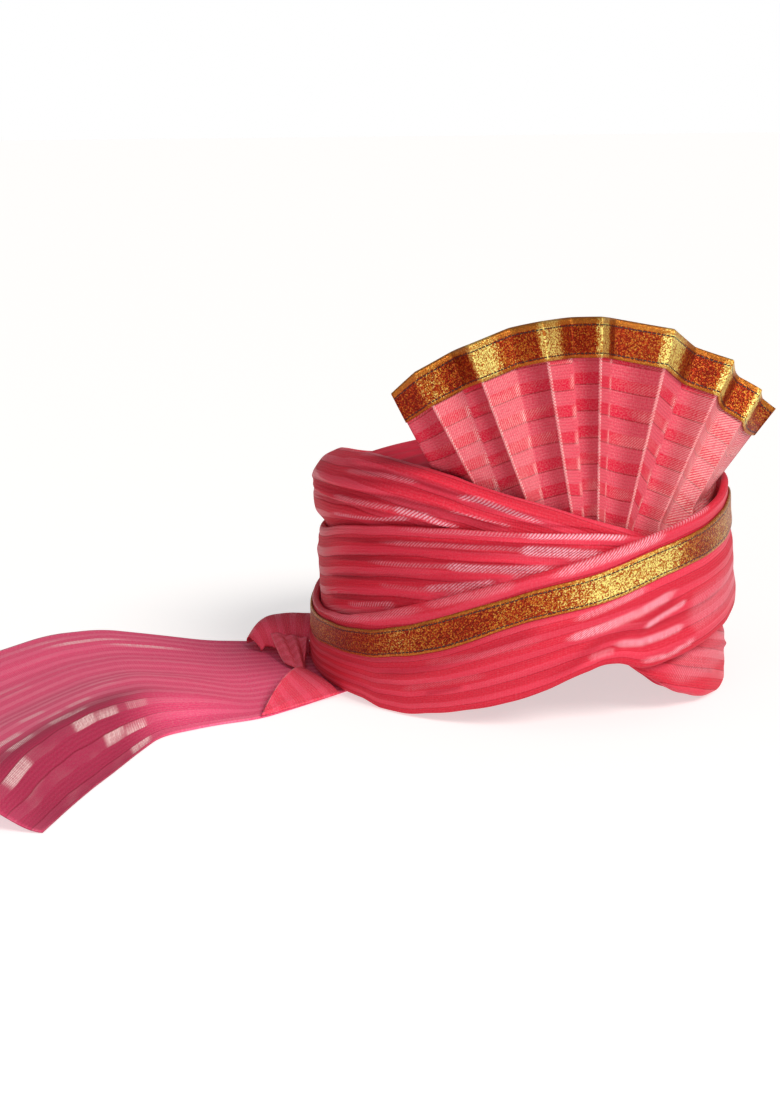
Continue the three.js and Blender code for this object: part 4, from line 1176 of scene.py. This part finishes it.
# Painted highlight along the flap's raised edge
edge_glint = 0.5 * smooth_step(0.95, 1.0, t)[None, :]
flap = grid_mesh("tail_folded_corner", np.stack(rows), flat, glint=edge_glint)
give_wall(flap, TAIL_WALL)
slot, flat = "tail_cloth", (0.06, 0.046)
finish_piece(flap, fold_cloth, "tail_flap", slot, flat, ["tail"])

# Floor, lights and camera. Sizes and places are in metres. The key is a soft sun from the front right, and
# the fill a large soft panel low at the front left
FLOOR_SIZE = 16
KEY_FROM = Vector((0.36, -0.92, 0.84))
KEY_ENERGY, KEY_ANGLE = 2.5, math.radians(26)
FILL_PLACE = (HEAD_X - 0.62, HEAD_Y - 1.0, 0.26)
FILL_TOWARD = Vector((0.57, 1.0, -0.2))
FILL_SIZE, FILL_ENERGY = 0.8, 3.4
SOFT_LIGHT, BACKDROP, FLOOR_GLOW = 0.24, 1.0, 0.56
bpy.ops.mesh.primitive_plane_add(size=FLOOR_SIZE, location=(0, 0, 0))
floor = bpy.context.object
floor.name = "floor"
floor_material = new_material("pale_studio_floor")
lit_floor = {"Base Color": linear("#CDCBCB"), "Roughness": 0.9, "Emission Color": linear("#FFFFFF")}
shader = add_node(floor_material, PRINCIPLED, {**lit_floor, "Emission Strength": FLOOR_GLOW})
add_node(floor_material, SURFACE, {"Surface": shader})
floor.data.materials.append(floor_material)

# The studio: soft white light all round, brighter where the camera sees it as the background
world = bpy.context.scene.world or bpy.data.worlds.new("studio")
bpy.context.scene.world = world
world.use_nodes = True
world.node_tree.nodes.clear()
soft_light = add_node(world, "ShaderNodeBackground", {"Color": linear("#FFFFFF"), "Strength": SOFT_LIGHT})
backdrop = add_node(world, "ShaderNodeBackground", {"Color": linear("#FFFFFF"), "Strength": BACKDROP})
seen = add_node(world, "ShaderNodeLightPath")
sides = {0: seen.outputs["Is Camera Ray"], 1: soft_light, 2: backdrop}
studio = add_node(world, "ShaderNodeMixShader", sides)
add_node(world, "ShaderNodeOutputWorld", {"Surface": studio})

bpy.ops.object.light_add(type="SUN", location=(HEAD_X + 1, HEAD_Y - 1, 1.5))
key_light = bpy.context.object
key_light.name = "key_light"
key_light.data.energy = KEY_ENERGY
key_light.data.angle = KEY_ANGLE
key_light.data.color = linear("#FFF8F2")[:3]
key_light.rotation_euler = (-KEY_FROM).to_track_quat("-Z", "Y").to_euler()

bpy.ops.object.light_add(type="AREA", location=FILL_PLACE)
fill_light = bpy.context.object
fill_light.name = "fill_light"
fill_light.data.shape = "SQUARE"
fill_light.data.size = FILL_SIZE
fill_light.data.energy = FILL_ENERGY
fill_light.rotation_euler = FILL_TOWARD.to_track_quat("-Z", "Y").to_euler()

# The photograph's view: seen from 1.2 m, a little from the wearer's right and above
VIEW_AZIMUTH, VIEW_HEIGHT = math.radians(-18), math.radians(12)
DISTANCE = 1.2
PIXEL = 0.515 * MM
PHOTO_WIDTH, PHOTO_HEIGHT = 780, 1108
HEAD_FOOT_PIXEL = (521.5, 665)
level = math.cos(VIEW_HEIGHT)
forward = Vector((-math.sin(VIEW_AZIMUTH) * level, math.cos(VIEW_AZIMUTH) * level, -math.sin(VIEW_HEIGHT)))
right = Vector((math.cos(VIEW_AZIMUTH), math.sin(VIEW_AZIMUTH), 0))
up = right.cross(forward)
aside = (HEAD_FOOT_PIXEL[0] - PHOTO_WIDTH / 2) * PIXEL
above = (PHOTO_HEIGHT / 2 - HEAD_FOOT_PIXEL[1]) * PIXEL
camera_place = Vector((HEAD_X, HEAD_Y, 0)) - forward * DISTANCE - right * aside - up * above
bpy.ops.object.camera_add(location=camera_place)
camera = bpy.context.object
camera.name = "photo_camera"
camera.data.sensor_width = 36
camera.data.lens = DISTANCE / PIXEL / PHOTO_HEIGHT * 36
camera.data.clip_start, camera.data.clip_end = 0.01, 50
camera.rotation_euler = forward.to_track_quat("-Z", "Y").to_euler()
bpy.context.scene.camera = camera
bpy.context.scene.view_settings.view_transform = "Standard"

bpy.context.view_layer.update()
